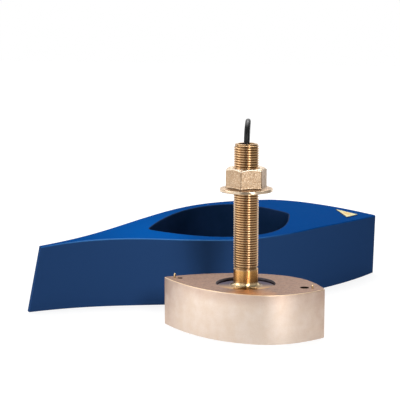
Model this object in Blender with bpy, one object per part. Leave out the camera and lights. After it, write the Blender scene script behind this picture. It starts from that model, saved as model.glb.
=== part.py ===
"""Bronze through-hull sonar transducer, its cable, and the fairing block that its housing drops into.

The transducer stands on its acoustic face, as on a bench, with the block beside and behind it.
Origin: on the floor under the stem's axis. +X runs to the housing's nose and +Z up the stem.
Lengths are in millimetres and angles in degrees until they reach Blender.
"""

import math

import bmesh
import bpy
from mathutils import Matrix, Vector

MM = 0.001
GAP = 0.3  # left between pieces that touch

# Housing: a streamlined planform with a full nose and a longer, finer tail
HOUSING_HEIGHT = 50.0
HOUSING_BEAM = 97.6
WIDEST_X = 11.0
NOSE_REACH = 72.6  # from the widest station to where the flanks would meet
TAIL_REACH = 101.0
NOSE_FULLNESS = 2.62  # exponent of the flank: higher is blunter
TAIL_FULLNESS = 2.0
NOSE_RADIUS = 5.0
TAIL_RADIUS = 3.0
HOUSING_EDGE = 1.0
HOUSING_WALL = 5.0
TOP_PLATE = 10.0
RECESS_RADIUS = 30.3
RECESS_DEPTH = 2.0

# Stem, cast with the housing and machined
STEM_RADIUS = 12.7
STEM_BORE_RADIUS = 8.4
STEM_TOP_Z = 193.5
STEM_FOOT_FILLET = 4.5
STEM_RIM_CHAMFER = 0.9

# Fixing holes and locating pins on the top face, all on the centre line
NOSE_HOLE_X = 62.0
NOSE_HOLE_RADIUS = 4.25
TAIL_HOLE_X = -71.5
TAIL_HOLE_RADIUS = 2.5
FIXING_HOLE_DEPTH = 12.0
BOSS_WALL = 3.6
BOSS_DROP = 5.0  # how far a boss hangs under the top plate
NOSE_PIN_X = 70.3
NOSE_PIN_HEIGHT = 3.0
TAIL_PIN_X = -77.5
TAIL_PIN_HEIGHT = 4.7
PIN_RADIUS = 1.0
PIN_SEAT_DEPTH = 6.0

# Flanged hull nut, part way up the thread
NUT_BELOW_RIM = 48.3  # from the stem's rim down to the nut's underside
NUT_FLATS = 37.5
NUT_TURN = 32.5
NUT_FLANGE_RADIUS = 27.1
NUT_FLANGE_RIM = 3.0
NUT_FLANGE_RISE = 1.5
NUT_HEX_HEIGHT = 19.5
NUT_CORNER_DROP = 1.9
NUT_BORE_CHAMFER = 1.2

# Inside of the housing
WINDOW_THICKNESS = 5.0
POTTING_HEADROOM = 3.0  # between the potting and the bosses
POTTING_COVER = 5.1  # over the tallest cups
MAIN_ELEMENT_X = 2.0
MAIN_ELEMENT_RADIUS = 25.0
MAIN_ELEMENT_THICKNESS = 10.0
ARRAY_ELEMENT_RADIUS = 10.0
ARRAY_PAIR_REACH = 39.0
ARRAY_PAIR_SPREAD = 13.0
ARRAY_END_REACH = 60.0
CUP_WALL = 1.5
CUP_TOP = 3.0
BOARD_LENGTH = 52.0
BOARD_WIDTH = 32.0
BOARD_THICKNESS = 1.6
SENSOR_X = 20.0
SENSOR_MARGIN = 6.5  # between the sensor and the housing's wall
SENSOR_RADIUS = 3.0
SENSOR_LENGTH = 14.0
SENSOR_EDGE = 0.8
SEAL_BELOW_RIM = 2.7
SEAL_LENGTH = 28.0

# Fairing block: its long axis is turned from the housing's, and its water face is tilted by the
# deadrise that its hull side was cut to
BLOCK_X = -79.7
BLOCK_Y = 169.0
BLOCK_YAW = 45.8
BLOCK_BEAM = 126.0
BLOCK_WIDEST_X = 8.0
BLOCK_NOSE_X = 211.3
BLOCK_TAIL_X = -240.5
BLOCK_NOSE_FULLNESS = 1.95
BLOCK_TAIL_WIDTH = 6.0
BLOCK_TAIL_FINENESS = 1.2
BLOCK_NOSE_WIDTH = 4.0
BLOCK_HEIGHT = 82.3  # on the axis, above the stem's hole
BLOCK_DEADRISE = 10.2
BLOCK_TRIM = 1.3
TAIL_FALL = 7.0  # the water face curves down to each end
TAIL_FALL_START_X = -95.0
TAIL_FALL_EXPONENT = 1.7
NOSE_FALL = 13.9
NOSE_FALL_START_X = 90.0
NOSE_FALL_EXPONENT = 1.5
TAIL_RAKE = 14.9
NOSE_RAKE = 2.1
BLOCK_EDGE = 1.6
POCKET_CLEARANCE = 4.5
POCKET_TAIL_RADIUS = 4.5
POCKET_FLOOR_CLEARANCE = 0.5
STEM_HOLE_CLEARANCE = 0.8

# Bow arrow label on the nose of the block's water face
LABEL_X = 175.8
LABEL_LENGTH = 24.4
LABEL_WIDTH = 33.0
LABEL_THICKNESS = 0.4

# Cable, and the coil that holds most of its length
CABLE_DIAMETER = 5.6
LEAD_YAW = 17.1  # the cable falls away from the viewer, in the upright plane turned by this
COIL_MEAN_RADIUS = 50.0
TURN_PITCH = 5.8
COIL_COLUMNS = 4
COIL_LAYERS = 7
COIL_REACH = 372.0
TAIL_LENGTH = 60.0  # from the coil to the plug

# Plug, lying behind the coil
PLUG_BODY_RADIUS = 8.5
PLUG_SPIGOT_RADIUS = 6.4
PLUG_SPIGOT_WALL = 1.1
PLUG_COLLAR_RADIUS = 11.5
PLUG_COLLAR_WALL = 2.2
PLUG_COLLAR_LIP = 3.0
PLUG_BOOT_LENGTH = 26.0
PLUG_BOOT_COLLAR = 7.0
PLUG_BODY_LENGTH = 14.0
PLUG_SPIGOT_LENGTH = 14.0
PLUG_EDGE = 0.8
BOOT_NECK_WALL = 1.6

# Facets
ROUND_STEPS = 48
SMALL_STEPS = 20
FLANK_STEPS = 18
BLOCK_STEPS = 16

HOUSING_TOP_PLATE_Z = HOUSING_HEIGHT - TOP_PLATE
RECESS_Z = HOUSING_HEIGHT - RECESS_DEPTH
NUT_UNDERSIDE_Z = STEM_TOP_Z - NUT_BELOW_RIM
ELEMENT_Z = WINDOW_THICKNESS + GAP
POTTING_TOP_Z = HOUSING_TOP_PLATE_Z - BOSS_DROP - POTTING_HEADROOM
ARRAY_ELEMENT_THICKNESS = POTTING_TOP_Z - POTTING_COVER - CUP_TOP - GAP - ELEMENT_Z
SEAL_TOP_Z = STEM_TOP_Z - SEAL_BELOW_RIM
BOARD_Z = POTTING_TOP_Z + GAP
COIL_OUTER_RADIUS = COIL_MEAN_RADIUS + COIL_COLUMNS * TURN_PITCH / 2
COIL_INNER_RADIUS = COIL_MEAN_RADIUS - COIL_COLUMNS * TURN_PITCH / 2
COIL_HEIGHT = COIL_LAYERS * TURN_PITCH
OUTER_TURN_RADIUS = COIL_OUTER_RADIUS - TURN_PITCH / 2
TOP_TURN_Z = COIL_HEIGHT - TURN_PITCH / 2
BOTTOM_TURN_Z = TURN_PITCH / 2


def material(name, colour, roughness, metallic=0.0):
    """A plain Principled material of one colour."""
    made = bpy.data.materials.new(name)
    made.use_nodes = True
    shader = made.node_tree.nodes["Principled BSDF"]
    shader.inputs["Base Color"].default_value = (*colour, 1.0)
    shader.inputs["Roughness"].default_value = roughness
    shader.inputs["Metallic"].default_value = metallic
    made.diffuse_color = (*colour, 1.0)
    return made


def add_object(name, shape, finish=None):
    """Turn a bmesh, drawn in millimetres, into a smooth-shaded object in metres."""
    bmesh.ops.scale(shape, vec=(MM, MM, MM), verts=shape.verts)
    bmesh.ops.recalc_face_normals(shape, faces=shape.faces)
    mesh = bpy.data.meshes.new(name)
    shape.to_mesh(mesh)
    shape.free()
    mesh.shade_smooth()
    mesh.set_sharp_from_angle(angle=math.radians(35))
    made = bpy.data.objects.new(name, mesh)
    bpy.context.collection.objects.link(made)
    if finish is not None:
        mesh.materials.append(finish)
    return made


def place(thing, x=0.0, y=0.0, z=0.0, yaw=0.0):
    """Move an object to a place in millimetres and turn it about +Z."""
    thing.location = (x * MM, y * MM, z * MM)
    thing.rotation_euler = (0.0, 0.0, math.radians(yaw))
    return thing


def as_tool(thing):
    """Mark an object as a cutter or a shape that is only joined on."""
    thing.hide_render = True
    thing.display_type = "WIRE"
    return thing


def combine(thing, tool, operation):
    """Add a Boolean modifier that joins a tool to an object or cuts it away."""
    step = thing.modifiers.new(f"{operation.lower()}_{tool.name}", "BOOLEAN")
    step.operation = operation
    step.solver = "EXACT"
    step.object = as_tool(tool)
    return thing


def loft(rings):
    """Skin closed rings of points, counter-clockwise from above and listed upwards, and cap both ends."""
    shape = bmesh.new()
    loops = [[shape.verts.new(point) for point in ring] for ring in rings]
    count = len(loops[0])
    for lower, upper in zip(loops, loops[1:]):
        for i in range(count):
            j = (i + 1) % count
            shape.faces.new((lower[i], lower[j], upper[j], upper[i]))
    shape.faces.new(list(reversed(loops[0])))
    shape.faces.new(loops[-1])
    return shape


def turned(profile, steps=ROUND_STEPS):
    """Spin an outline of (radius, z) points, from the axis round to the axis, about +Z."""
    shape = bmesh.new()
    verts = [shape.verts.new((radius, 0.0, z)) for radius, z in profile]
    edges = [shape.edges.new(pair) for pair in zip(verts, verts[1:])]
    if profile[0][0] > 0.0:
        edges.append(shape.edges.new((verts[-1], verts[0])))
    bmesh.ops.spin(shape, geom=verts + edges, axis=(0, 0, 1), cent=(0, 0, 0), angle=math.tau, steps=steps)
    bmesh.ops.remove_doubles(shape, verts=shape.verts, dist=0.001)
    return shape


def cylinder(radius, low, high, steps=SMALL_STEPS):
    """A plain upright cylinder between two heights."""
    return turned([(0.0, high), (radius, high), (radius, low), (0.0, low)], steps)


def arc(centre, radius, start, end, steps):
    """Points on an arc in a plane, with angles in degrees."""
    points = []
    for i in range(steps + 1):
        angle = math.radians(start + (end - start) * i / steps)
        points.append((centre[0] + radius * math.cos(angle), centre[1] + radius * math.sin(angle)))
    return points


class Flank:
    """One side of the housing's planform: half-breadth and outward normal at a station x."""

    def __init__(self, half_beam, widest, reaches, fullness):
        self.half_beam = half_beam
        self.widest = widest
        self.tail_reach, self.nose_reach = reaches
        self.tail_fullness, self.nose_fullness = fullness

    def side(self, x):
        if x >= self.widest:
            return self.nose_reach, self.nose_fullness, 1.0
        return self.tail_reach, self.tail_fullness, -1.0

    def half_breadth(self, x):
        reach, power, _ = self.side(x)
        return self.half_beam * (1.0 - (abs(x - self.widest) / reach) ** power)

    def normal(self, x):
        reach, power, sign = self.side(x)
        share = abs(x - self.widest) / reach
        slope = -sign * self.half_beam * power / reach * share ** (power - 1.0)
        return Vector((-slope, 1.0)).normalized()

    def tangent_station(self, sign, offset, radius):
        """Where an end arc of that radius touches the flank, once the flank is moved out by offset."""
        near = self.widest
        far = self.widest + (self.nose_reach if sign > 0 else -self.tail_reach)
        for _ in range(50):
            middle = (near + far) / 2
            if self.half_breadth(middle) > (radius - offset) * self.normal(middle).y:
                near = middle
            else:
                far = middle
        return near

    def end_arc(self, sign, offset, radius, steps=3):
        """Points from the tip on the centre line round to the flank."""
        station = self.tangent_station(sign, offset, radius)
        normal = self.normal(station)
        centre = station + (offset - radius) * normal.x
        turn = math.degrees(math.atan2(normal.y, normal.x))
        start = 0.0 if sign > 0 else 180.0
        return station, arc((centre, 0.0), radius, start, turn, steps)

    def outline(self, offset=0.0, nose_radius=NOSE_RADIUS, tail_radius=TAIL_RADIUS, steps=FLANK_STEPS):
        """The whole planform, counter-clockwise from the nose tip, moved out by offset."""
        nose_station, nose = self.end_arc(1, offset, nose_radius)
        tail_station, tail = self.end_arc(-1, offset, tail_radius)
        half = nose
        for i in range(1, steps):
            x = nose_station + (tail_station - nose_station) * (1 - math.cos(math.pi * i / steps)) / 2
            point = Vector((x, self.half_breadth(x))) + offset * self.normal(x)
            half.append((point.x, point.y))
        half.extend(reversed(tail))
        return half + [(x, -y) for x, y in reversed(half[1:-1])]


HOUSING_PLAN = Flank(
    HOUSING_BEAM / 2, WIDEST_X, (TAIL_REACH, NOSE_REACH), (TAIL_FULLNESS, NOSE_FULLNESS)
)
INNER_END_RADIUS = 3.0


def plan_at(z, offset=0.0, nose_radius=NOSE_RADIUS, tail_radius=TAIL_RADIUS):
    """The housing's planform at a height, moved out by offset."""
    return [(x, y, z) for x, y in HOUSING_PLAN.outline(offset, nose_radius, tail_radius)]


def inner_plan(z, offset=0.0):
    """The planform of the housing's cavity, moved out by offset."""
    return plan_at(z, offset - HOUSING_WALL, INNER_END_RADIUS, INNER_END_RADIUS)


def fixing_holes():
    """Place and radius of the two fixing holes in the housing's top."""
    return ((NOSE_HOLE_X, NOSE_HOLE_RADIUS), (TAIL_HOLE_X, TAIL_HOLE_RADIUS))


def build_cavity():
    """The housing's hollow, with a boss left round each fixing hole."""
    cavity = add_object("cavity_cut", loft([inner_plan(-1.0), inner_plan(HOUSING_TOP_PLATE_Z)]))
    for i, (x, radius) in enumerate(fixing_holes()):
        low = HOUSING_TOP_PLATE_Z - BOSS_DROP
        shape = cylinder(radius + BOSS_WALL, low, HOUSING_TOP_PLATE_Z + 1.0)
        combine(cavity, place(add_object(f"boss_{i}", shape), x), "DIFFERENCE")
    return cavity


def build_housing(bronze):
    """Hollow casting with the stem standing in a machined recess on its top."""
    edge = HOUSING_EDGE
    top = HOUSING_HEIGHT
    rings = [plan_at(0.0, -edge / 2), plan_at(edge / 2), plan_at(top - edge)]
    rings += [plan_at(top - 0.3 * edge, -0.3 * edge), plan_at(top, -edge)]
    housing = add_object("housing", loft(rings), bronze)
    recess = cylinder(RECESS_RADIUS, RECESS_Z, top + 1.0, ROUND_STEPS)
    combine(housing, add_object("recess_cut", recess), "DIFFERENCE")
    foot = STEM_RADIUS + STEM_FOOT_FILLET
    fillet = arc((foot, RECESS_Z + STEM_FOOT_FILLET), STEM_FOOT_FILLET, 180, 270, 5)
    rim = STEM_TOP_Z - STEM_RIM_CHAMFER
    profile = [(0.0, STEM_TOP_Z), (STEM_RADIUS - STEM_RIM_CHAMFER, STEM_TOP_Z), (STEM_RADIUS, rim)]
    profile += fillet + [(foot, RECESS_Z - 3.0), (0.0, RECESS_Z - 3.0)]
    combine(housing, add_object("stem_join", turned(profile)), "UNION")
    combine(housing, build_cavity(), "DIFFERENCE")
    bore = cylinder(STEM_BORE_RADIUS, HOUSING_TOP_PLATE_Z - 1.0, STEM_TOP_Z + 1.0, ROUND_STEPS)
    combine(housing, add_object("stem_bore_cut", bore), "DIFFERENCE")
    for i, (x, radius) in enumerate(fixing_holes()):
        hole = cylinder(radius, top - FIXING_HOLE_DEPTH, top + 1.0)
        combine(housing, place(add_object(f"fixing_hole_cut_{i}", hole), x), "DIFFERENCE")
    for i, x in enumerate((NOSE_PIN_X, TAIL_PIN_X)):
        hole = cylinder(PIN_RADIUS + GAP, top - PIN_SEAT_DEPTH, top + 1.0, 12)
        combine(housing, place(add_object(f"pin_hole_cut_{i}", hole), x), "DIFFERENCE")
    return housing


def build_pin(name, x, height, brass):
    """Locating pin with a rounded head, seated in a blind hole in the housing's top."""
    low = HOUSING_HEIGHT - PIN_SEAT_DEPTH + GAP
    top = HOUSING_HEIGHT + height
    head = arc((0.0, top - PIN_RADIUS), PIN_RADIUS, 90, 0, 3)
    profile = [(0.0, top)] + head[1:] + [(PIN_RADIUS, low), (0.0, low)]
    return place(add_object(name, turned(profile, 12), brass), x)


def build_hull_nut(bronze):
    """Hexagon nut cast with a wide flange, its corners chamfered and its flange edge rounded."""
    flange_top = NUT_UNDERSIDE_Z + NUT_FLANGE_RIM
    hex_foot = flange_top + NUT_FLANGE_RISE
    hex_top = hex_foot + NUT_HEX_HEIGHT
    corner = NUT_FLATS / 2 / math.cos(math.pi / 6)
    bore = STEM_RADIUS + GAP
    ring = [(corner * math.cos(math.tau * i / 6), corner * math.sin(math.tau * i / 6)) for i in range(6)]
    hexagon = loft([[(x, y, z) for x, y in ring] for z in (flange_top, hex_top)])
    nut = add_object("hull_nut", hexagon, bronze)
    nut.rotation_euler = (0.0, 0.0, math.radians(NUT_TURN))
    profile = [(0.0, hex_top), (NUT_FLATS / 2, hex_top), (corner + 1.0, hex_top - NUT_CORNER_DROP * 1.2)]
    profile += [(corner + 1.0, flange_top - 1.0), (0.0, flange_top - 1.0)]
    combine(nut, add_object("hex_chamfer", turned(profile)), "INTERSECT")
    half = NUT_FLANGE_RIM / 2
    rim = arc((NUT_FLANGE_RADIUS - half, NUT_UNDERSIDE_Z + half), half, 90, -90, 6)
    flange = [(0.0, hex_foot), (NUT_FLATS / 2, hex_foot)] + rim + [(0.0, NUT_UNDERSIDE_Z)]
    combine(nut, add_object("flange_join", turned(flange)), "UNION")
    lead_in = bore + NUT_BORE_CHAMFER
    drill = [(0.0, hex_top + 1.0), (lead_in + 1.0, hex_top + 1.0), (bore, hex_top - NUT_BORE_CHAMFER)]
    drill += [(bore, NUT_UNDERSIDE_Z + NUT_BORE_CHAMFER), (lead_in + 1.0, NUT_UNDERSIDE_Z - 1.0)]
    drill += [(0.0, NUT_UNDERSIDE_Z - 1.0)]
    combine(nut, add_object("nut_bore_cut", turned(drill)), "DIFFERENCE")
    return nut


def element_layout():
    """Name, place, radius and thickness of each ceramic disc."""
    layout = [("main", MAIN_ELEMENT_X, 0.0, MAIN_ELEMENT_RADIUS, MAIN_ELEMENT_THICKNESS)]
    places = [(sign * ARRAY_END_REACH, 0.0) for sign in (1, -1)]
    places += [(sx * ARRAY_PAIR_REACH, sy * ARRAY_PAIR_SPREAD) for sx in (1, -1) for sy in (1, -1)]
    for i, (x, y) in enumerate(places, start=1):
        size = (ARRAY_ELEMENT_RADIUS, ARRAY_ELEMENT_THICKNESS)
        layout.append((f"array_{i}", MAIN_ELEMENT_X + x, y, *size))
    return layout


def build_elements(ceramic, cork):
    """Ceramic discs on the window, each under its own cork isolation cup."""
    for name, x, y, radius, thickness in element_layout():
        disc = cylinder(radius, ELEMENT_Z, ELEMENT_Z + thickness, 32)
        place(add_object(f"{name}_element", disc, ceramic), x, y)
        inner = radius + GAP
        outer = inner + CUP_WALL
        low = ELEMENT_Z + thickness + GAP
        high = low + CUP_TOP
        profile = [(0.0, high), (outer, high), (outer, ELEMENT_Z)]
        profile += [(inner, ELEMENT_Z), (inner, low), (0.0, low)]
        place(add_object(f"{name}_isolation_cup", turned(profile, 32), cork), x, y)


def build_inside(resin, rubber, board_green, brass, black):
    """Window, potting, board, sensor, and what runs up the stem."""
    sensor_y = SENSOR_RADIUS + SENSOR_MARGIN + HOUSING_WALL - HOUSING_PLAN.half_breadth(SENSOR_X)
    window = loft([inner_plan(0.0, -GAP), inner_plan(WINDOW_THICKNESS, -GAP)])
    window = add_object("acoustic_window", window, resin)
    port = cylinder(SENSOR_RADIUS + GAP, -1.0, WINDOW_THICKNESS + 1.0)
    combine(window, place(add_object("sensor_port_cut", port), SENSOR_X, sensor_y), "DIFFERENCE")
    potting = loft([inner_plan(ELEMENT_Z, -GAP), inner_plan(POTTING_TOP_Z, -GAP)])
    potting = add_object("potting", potting, rubber)
    for name, x, y, radius, thickness in element_layout():
        top = ELEMENT_Z + thickness + GAP + CUP_TOP + GAP
        pocket = cylinder(radius + GAP + CUP_WALL + GAP, ELEMENT_Z - 1.0, top, 32)
        combine(potting, place(add_object(f"{name}_pocket_cut", pocket), x, y), "DIFFERENCE")
    pocket = cylinder(SENSOR_RADIUS + GAP, ELEMENT_Z - 1.0, SENSOR_LENGTH + GAP)
    combine(potting, place(add_object("sensor_pocket_cut", pocket), SENSOR_X, sensor_y), "DIFFERENCE")
    sensor = [(0.0, SENSOR_LENGTH), (SENSOR_RADIUS - SENSOR_EDGE, SENSOR_LENGTH)]
    sensor += [(SENSOR_RADIUS, SENSOR_LENGTH - SENSOR_EDGE), (SENSOR_RADIUS, 0.0), (0.0, 0.0)]
    place(add_object("temperature_sensor", turned(sensor, SMALL_STEPS), brass), SENSOR_X, sensor_y)
    board = bmesh.new()
    bmesh.ops.create_cube(board, size=1.0)
    bmesh.ops.scale(board, vec=(BOARD_LENGTH, BOARD_WIDTH, BOARD_THICKNESS), verts=board.verts)
    place(add_object("terminal_board", board, board_green), z=BOARD_Z + BOARD_THICKNESS / 2)
    seal_low = SEAL_TOP_Z - SEAL_LENGTH
    add_object("stem_seal", cylinder(STEM_BORE_RADIUS - GAP, seal_low, SEAL_TOP_Z, ROUND_STEPS), black)
    lead_low = BOARD_Z + BOARD_THICKNESS + GAP
    add_object("stem_lead", cylinder(CABLE_DIAMETER / 2, lead_low, seal_low - GAP), black)


def block_half_breadth(x):
    """Half-breadth of the fairing block: a full bow and a hollowed, finely drawn tail."""
    half = BLOCK_BEAM / 2
    if x >= BLOCK_WIDEST_X:
        share = (x - BLOCK_WIDEST_X) / (BLOCK_NOSE_X - BLOCK_WIDEST_X)
        nose = BLOCK_NOSE_WIDTH / 2
        return nose + (half - nose) * (1.0 - share**BLOCK_NOSE_FULLNESS)
    share = (BLOCK_WIDEST_X - x) / (BLOCK_WIDEST_X - BLOCK_TAIL_X)
    tail = BLOCK_TAIL_WIDTH / 2
    return tail + (half - tail) * ((1.0 + math.cos(math.pi * share)) / 2) ** BLOCK_TAIL_FINENESS


def water_face_z(x, y):
    """Height of the block's water face: tilted by the deadrise, and falling away towards each end."""
    z = BLOCK_HEIGHT + math.tan(math.radians(BLOCK_DEADRISE)) * y + math.tan(math.radians(BLOCK_TRIM)) * x
    if x < TAIL_FALL_START_X:
        share = (TAIL_FALL_START_X - x) / (TAIL_FALL_START_X - BLOCK_TAIL_X)
        z -= TAIL_FALL * share**TAIL_FALL_EXPONENT
    if x > NOSE_FALL_START_X:
        share = (x - NOSE_FALL_START_X) / (BLOCK_NOSE_X - NOSE_FALL_START_X)
        z -= NOSE_FALL * share**NOSE_FALL_EXPONENT
    return z


def water_face_frame(x, y):
    """Rotation whose Z is the water face's normal there and whose X runs along the block."""
    step = 0.5
    along = Vector((2 * step, 0.0, water_face_z(x + step, y) - water_face_z(x - step, y))).normalized()
    across = Vector((0.0, 2 * step, water_face_z(x, y + step) - water_face_z(x, y - step))).normalized()
    normal = along.cross(across).normalized()
    across = normal.cross(along)
    return Matrix((along, across, normal)).transposed()


def block_stations():
    """Stations along the block, closer together where the outline or the water face turns."""
    bounds = (BLOCK_TAIL_X, TAIL_FALL_START_X, NOSE_FALL_START_X, BLOCK_NOSE_X)
    stations = []
    for start, end in zip(bounds, bounds[1:]):
        stations.extend(start + (end - start) * i / BLOCK_STEPS for i in range(BLOCK_STEPS))
    return stations + [BLOCK_NOSE_X]


def raked(x):
    """Where a station of the floor outline lies on the water face, between the raked ends."""
    share = (x - BLOCK_TAIL_X) / (BLOCK_NOSE_X - BLOCK_TAIL_X)
    return x + TAIL_RAKE * (1.0 - share) + NOSE_RAKE * share


def build_block_body():
    """The solid block before its pocket is cut."""
    shape = bmesh.new()
    rows = []
    for x in block_stations():
        half = block_half_breadth(x)
        top_x = raked(x)
        near = [(x, -half, 0.0)]
        near.append((top_x, -half, water_face_z(top_x, -half) - BLOCK_EDGE))
        near.append((top_x, -half + BLOCK_EDGE, water_face_z(top_x, -half + BLOCK_EDGE)))
        far = [(x, half, 0.0)]
        far.append((top_x, half, water_face_z(top_x, half) - BLOCK_EDGE))
        far.append((top_x, half - BLOCK_EDGE, water_face_z(top_x, half - BLOCK_EDGE)))
        rows.append([shape.verts.new(point) for point in near + list(reversed(far))])
    count = len(rows[0])
    for left, right in zip(rows, rows[1:]):
        for i in range(count):
            j = (i + 1) % count
            shape.faces.new((left[i], right[i], right[j], left[j]))
    shape.faces.new(list(reversed(rows[0])))
    shape.faces.new(rows[-1])
    flat = math.radians(0.02)
    bmesh.ops.dissolve_limit(shape, angle_limit=flat, verts=shape.verts, edges=shape.edges)
    return shape


def pocket_matrix():
    """Frame of the housing when it sits in the block: its centre on the water face."""
    rotation = water_face_frame(0.0, 0.0)
    frame = rotation.to_4x4()
    frame.translation = Vector((0.0, 0.0, BLOCK_HEIGHT)) * MM
    return frame


def build_fairing(urethane, yellow):
    """Moulded block with the housing's pocket and the stem's hole, square to its water face."""
    block = add_object("fairing_block", build_block_body(), urethane)
    place(block, BLOCK_X, BLOCK_Y, 0.0, BLOCK_YAW)
    depth = HOUSING_HEIGHT + POCKET_FLOOR_CLEARANCE
    rings = []
    for z in (-depth, 20.0):
        rings.append(plan_at(z, POCKET_CLEARANCE, NOSE_RADIUS + POCKET_CLEARANCE, POCKET_TAIL_RADIUS))
    pocket = add_object("pocket_cut", loft(rings))
    hole = cylinder(STEM_RADIUS + STEM_HOLE_CLEARANCE, -depth - BLOCK_HEIGHT, -depth + 1.0, ROUND_STEPS)
    cutters = [pocket, add_object("stem_hole_cut", hole)]
    for i, (x, height) in enumerate(((NOSE_PIN_X, NOSE_PIN_HEIGHT), (TAIL_PIN_X, TAIL_PIN_HEIGHT))):
        hole = cylinder(PIN_RADIUS + STEM_HOLE_CLEARANCE, -depth - height - 1.0, -depth + 1.0, 12)
        cutters.append(add_object(f"pin_socket_cut_{i}", hole))
        cutters[-1].data.transform(Matrix.Translation((x * MM, 0.0, 0.0)))
    for cutter in cutters:
        cutter.data.transform(pocket_matrix())
        place(cutter, BLOCK_X, BLOCK_Y, 0.0, BLOCK_YAW)
        combine(block, cutter, "DIFFERENCE")
    base = -LABEL_LENGTH / 2
    corners = [(-base, 0.0), (base, LABEL_WIDTH / 2), (base, -LABEL_WIDTH / 2)]
    shape = loft([[(x, y, z) for x, y in corners] for z in (GAP, GAP + LABEL_THICKNESS)])
    label = add_object("bow_label", shape, yellow)
    frame = water_face_frame(LABEL_X, 0.0).to_4x4()
    frame.translation = Vector((LABEL_X, 0.0, water_face_z(LABEL_X, 0.0))) * MM
    label.data.transform(frame)
    place(label, BLOCK_X, BLOCK_Y, 0.0, BLOCK_YAW)


def lead_point(reach, side, z):
    """A point at a reach behind the stem, a little to one side of the cable's plane, in metres."""
    away = Vector((-math.sin(math.radians(LEAD_YAW)), math.cos(math.radians(LEAD_YAW))))
    right = Vector((away.y, -away.x))
    spot = away * reach + right * side
    return Vector((spot.x, spot.y, z)) * MM


def smooth_route(points, spacing):
    """Points at an even spacing on a smooth curve through the route's own points."""
    ends = [2 * points[0] - points[1]] + points + [2 * points[-1] - points[-2]]
    fine = []
    for a, b, c, d in zip(ends, ends[1:], ends[2:], ends[3:]):
        for i in range(20):
            t = i / 20
            bend = (2 * a - 5 * b + 4 * c - d) * t**2 + (3 * b - 3 * c + d - a) * t**3
            fine.append(0.5 * (2 * b + (c - a) * t + bend))
    fine.append(points[-1])
    lengths = [0.0]
    for start, end in zip(fine, fine[1:]):
        lengths.append(lengths[-1] + (end - start).length)
    count = max(2, round(lengths[-1] / spacing))
    route = []
    position = 0
    for i in range(count + 1):
        goal = lengths[-1] * i / count
        while position < len(fine) - 2 and lengths[position + 1] < goal:
            position += 1
        share = (goal - lengths[position]) / (lengths[position + 1] - lengths[position])
        route.append(fine[position].lerp(fine[position + 1], min(share, 1.0)))
    return route


def build_tube(name, points, jacket):
    """One free stretch of the cable, with a short straight at each end that meets its seat squarely."""
    curve = bpy.data.curves.new(name, "CURVE")
    curve.dimensions = "3D"
    curve.bevel_depth = CABLE_DIAMETER / 2 * MM
    curve.bevel_resolution = 2
    curve.use_fill_caps = True
    route = points[:1] + smooth_route(points[1:-1], 2.0 * CABLE_DIAMETER * MM) + points[-1:]
    spline = curve.splines.new("POLY")
    spline.points.add(len(route) - 1)
    for vertex, point in zip(spline.points, route):
        vertex.co = (*point, 1.0)
    curve.materials.append(jacket)
    made = bpy.data.objects.new(name, curve)
    bpy.context.collection.objects.link(made)
    return made


def coil_touch():
    """How far before its tangent point the outermost turn clears the coil's ring."""
    inner_side = OUTER_TURN_RADIUS - CABLE_DIAMETER / 2
    return math.sqrt((COIL_OUTER_RADIUS + GAP) ** 2 - inner_side**2)


def build_cable(jacket):
    """The cable's free stretches and the ring that stands for its coil."""
    coil_end = COIL_REACH - coil_touch()
    start_z = SEAL_TOP_Z + GAP
    fall = [(0, 0, start_z), (0, 0, start_z + 2.5), (0.5, 0.1, 198), (2.4, 0.3, 203), (6.2, 0.6, 207.8)]
    fall += [(11.8, 1.1, 211.5), (19.5, 1.4, 213.6), (30, 1.6, 213), (55, 1.4, 206.2)]
    fall += [(92, 1, 190), (135, 0.5, 168), (180, 0, 144)]
    fall += [(222, 0, 120.4), (252, 0, 106.4), (275, 0, 90.8), (294, 0, 69), (312, 0, 50.5)]
    fall += [(330, 0, 40.5), (coil_end - 4, 0, TOP_TURN_Z), (coil_end, 0, TOP_TURN_Z)]
    build_tube("cable", [lead_point(*point) for point in fall], jacket)
    profile = [(COIL_OUTER_RADIUS, COIL_HEIGHT), (COIL_OUTER_RADIUS, 0.0)]
    profile += [(COIL_INNER_RADIUS, 0.0), (COIL_INNER_RADIUS, COIL_HEIGHT)]
    ring = add_object("cable_coil", turned(profile), jacket)
    ring.location = lead_point(COIL_REACH, -OUTER_TURN_RADIUS, 0.0)
    reach = COIL_REACH - OUTER_TURN_RADIUS
    start = coil_touch() - OUTER_TURN_RADIUS
    axis_z = PLUG_COLLAR_RADIUS
    low = BOTTOM_TURN_Z
    tail = [(reach, start, low), (reach, start + 4, low), (reach, start + 16, low + 0.9)]
    tail += [(reach, start + 30, (low + axis_z) / 2), (reach, start + 44, axis_z - 0.9)]
    tail += [(reach, start + TAIL_LENGTH - 4, axis_z), (reach, start + TAIL_LENGTH, axis_z)]
    build_tube("cable_tail", [lead_point(*point) for point in tail], jacket)
    return lead_point(reach, start + TAIL_LENGTH + GAP, axis_z)


def lay_along(thing, start):
    """Lay a piece that was turned about +Z along the plug's axis, from the cable's end outwards."""
    thing.rotation_euler = (0.0, math.radians(90), math.radians(LEAD_YAW))
    thing.location = start
    return thing


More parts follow.
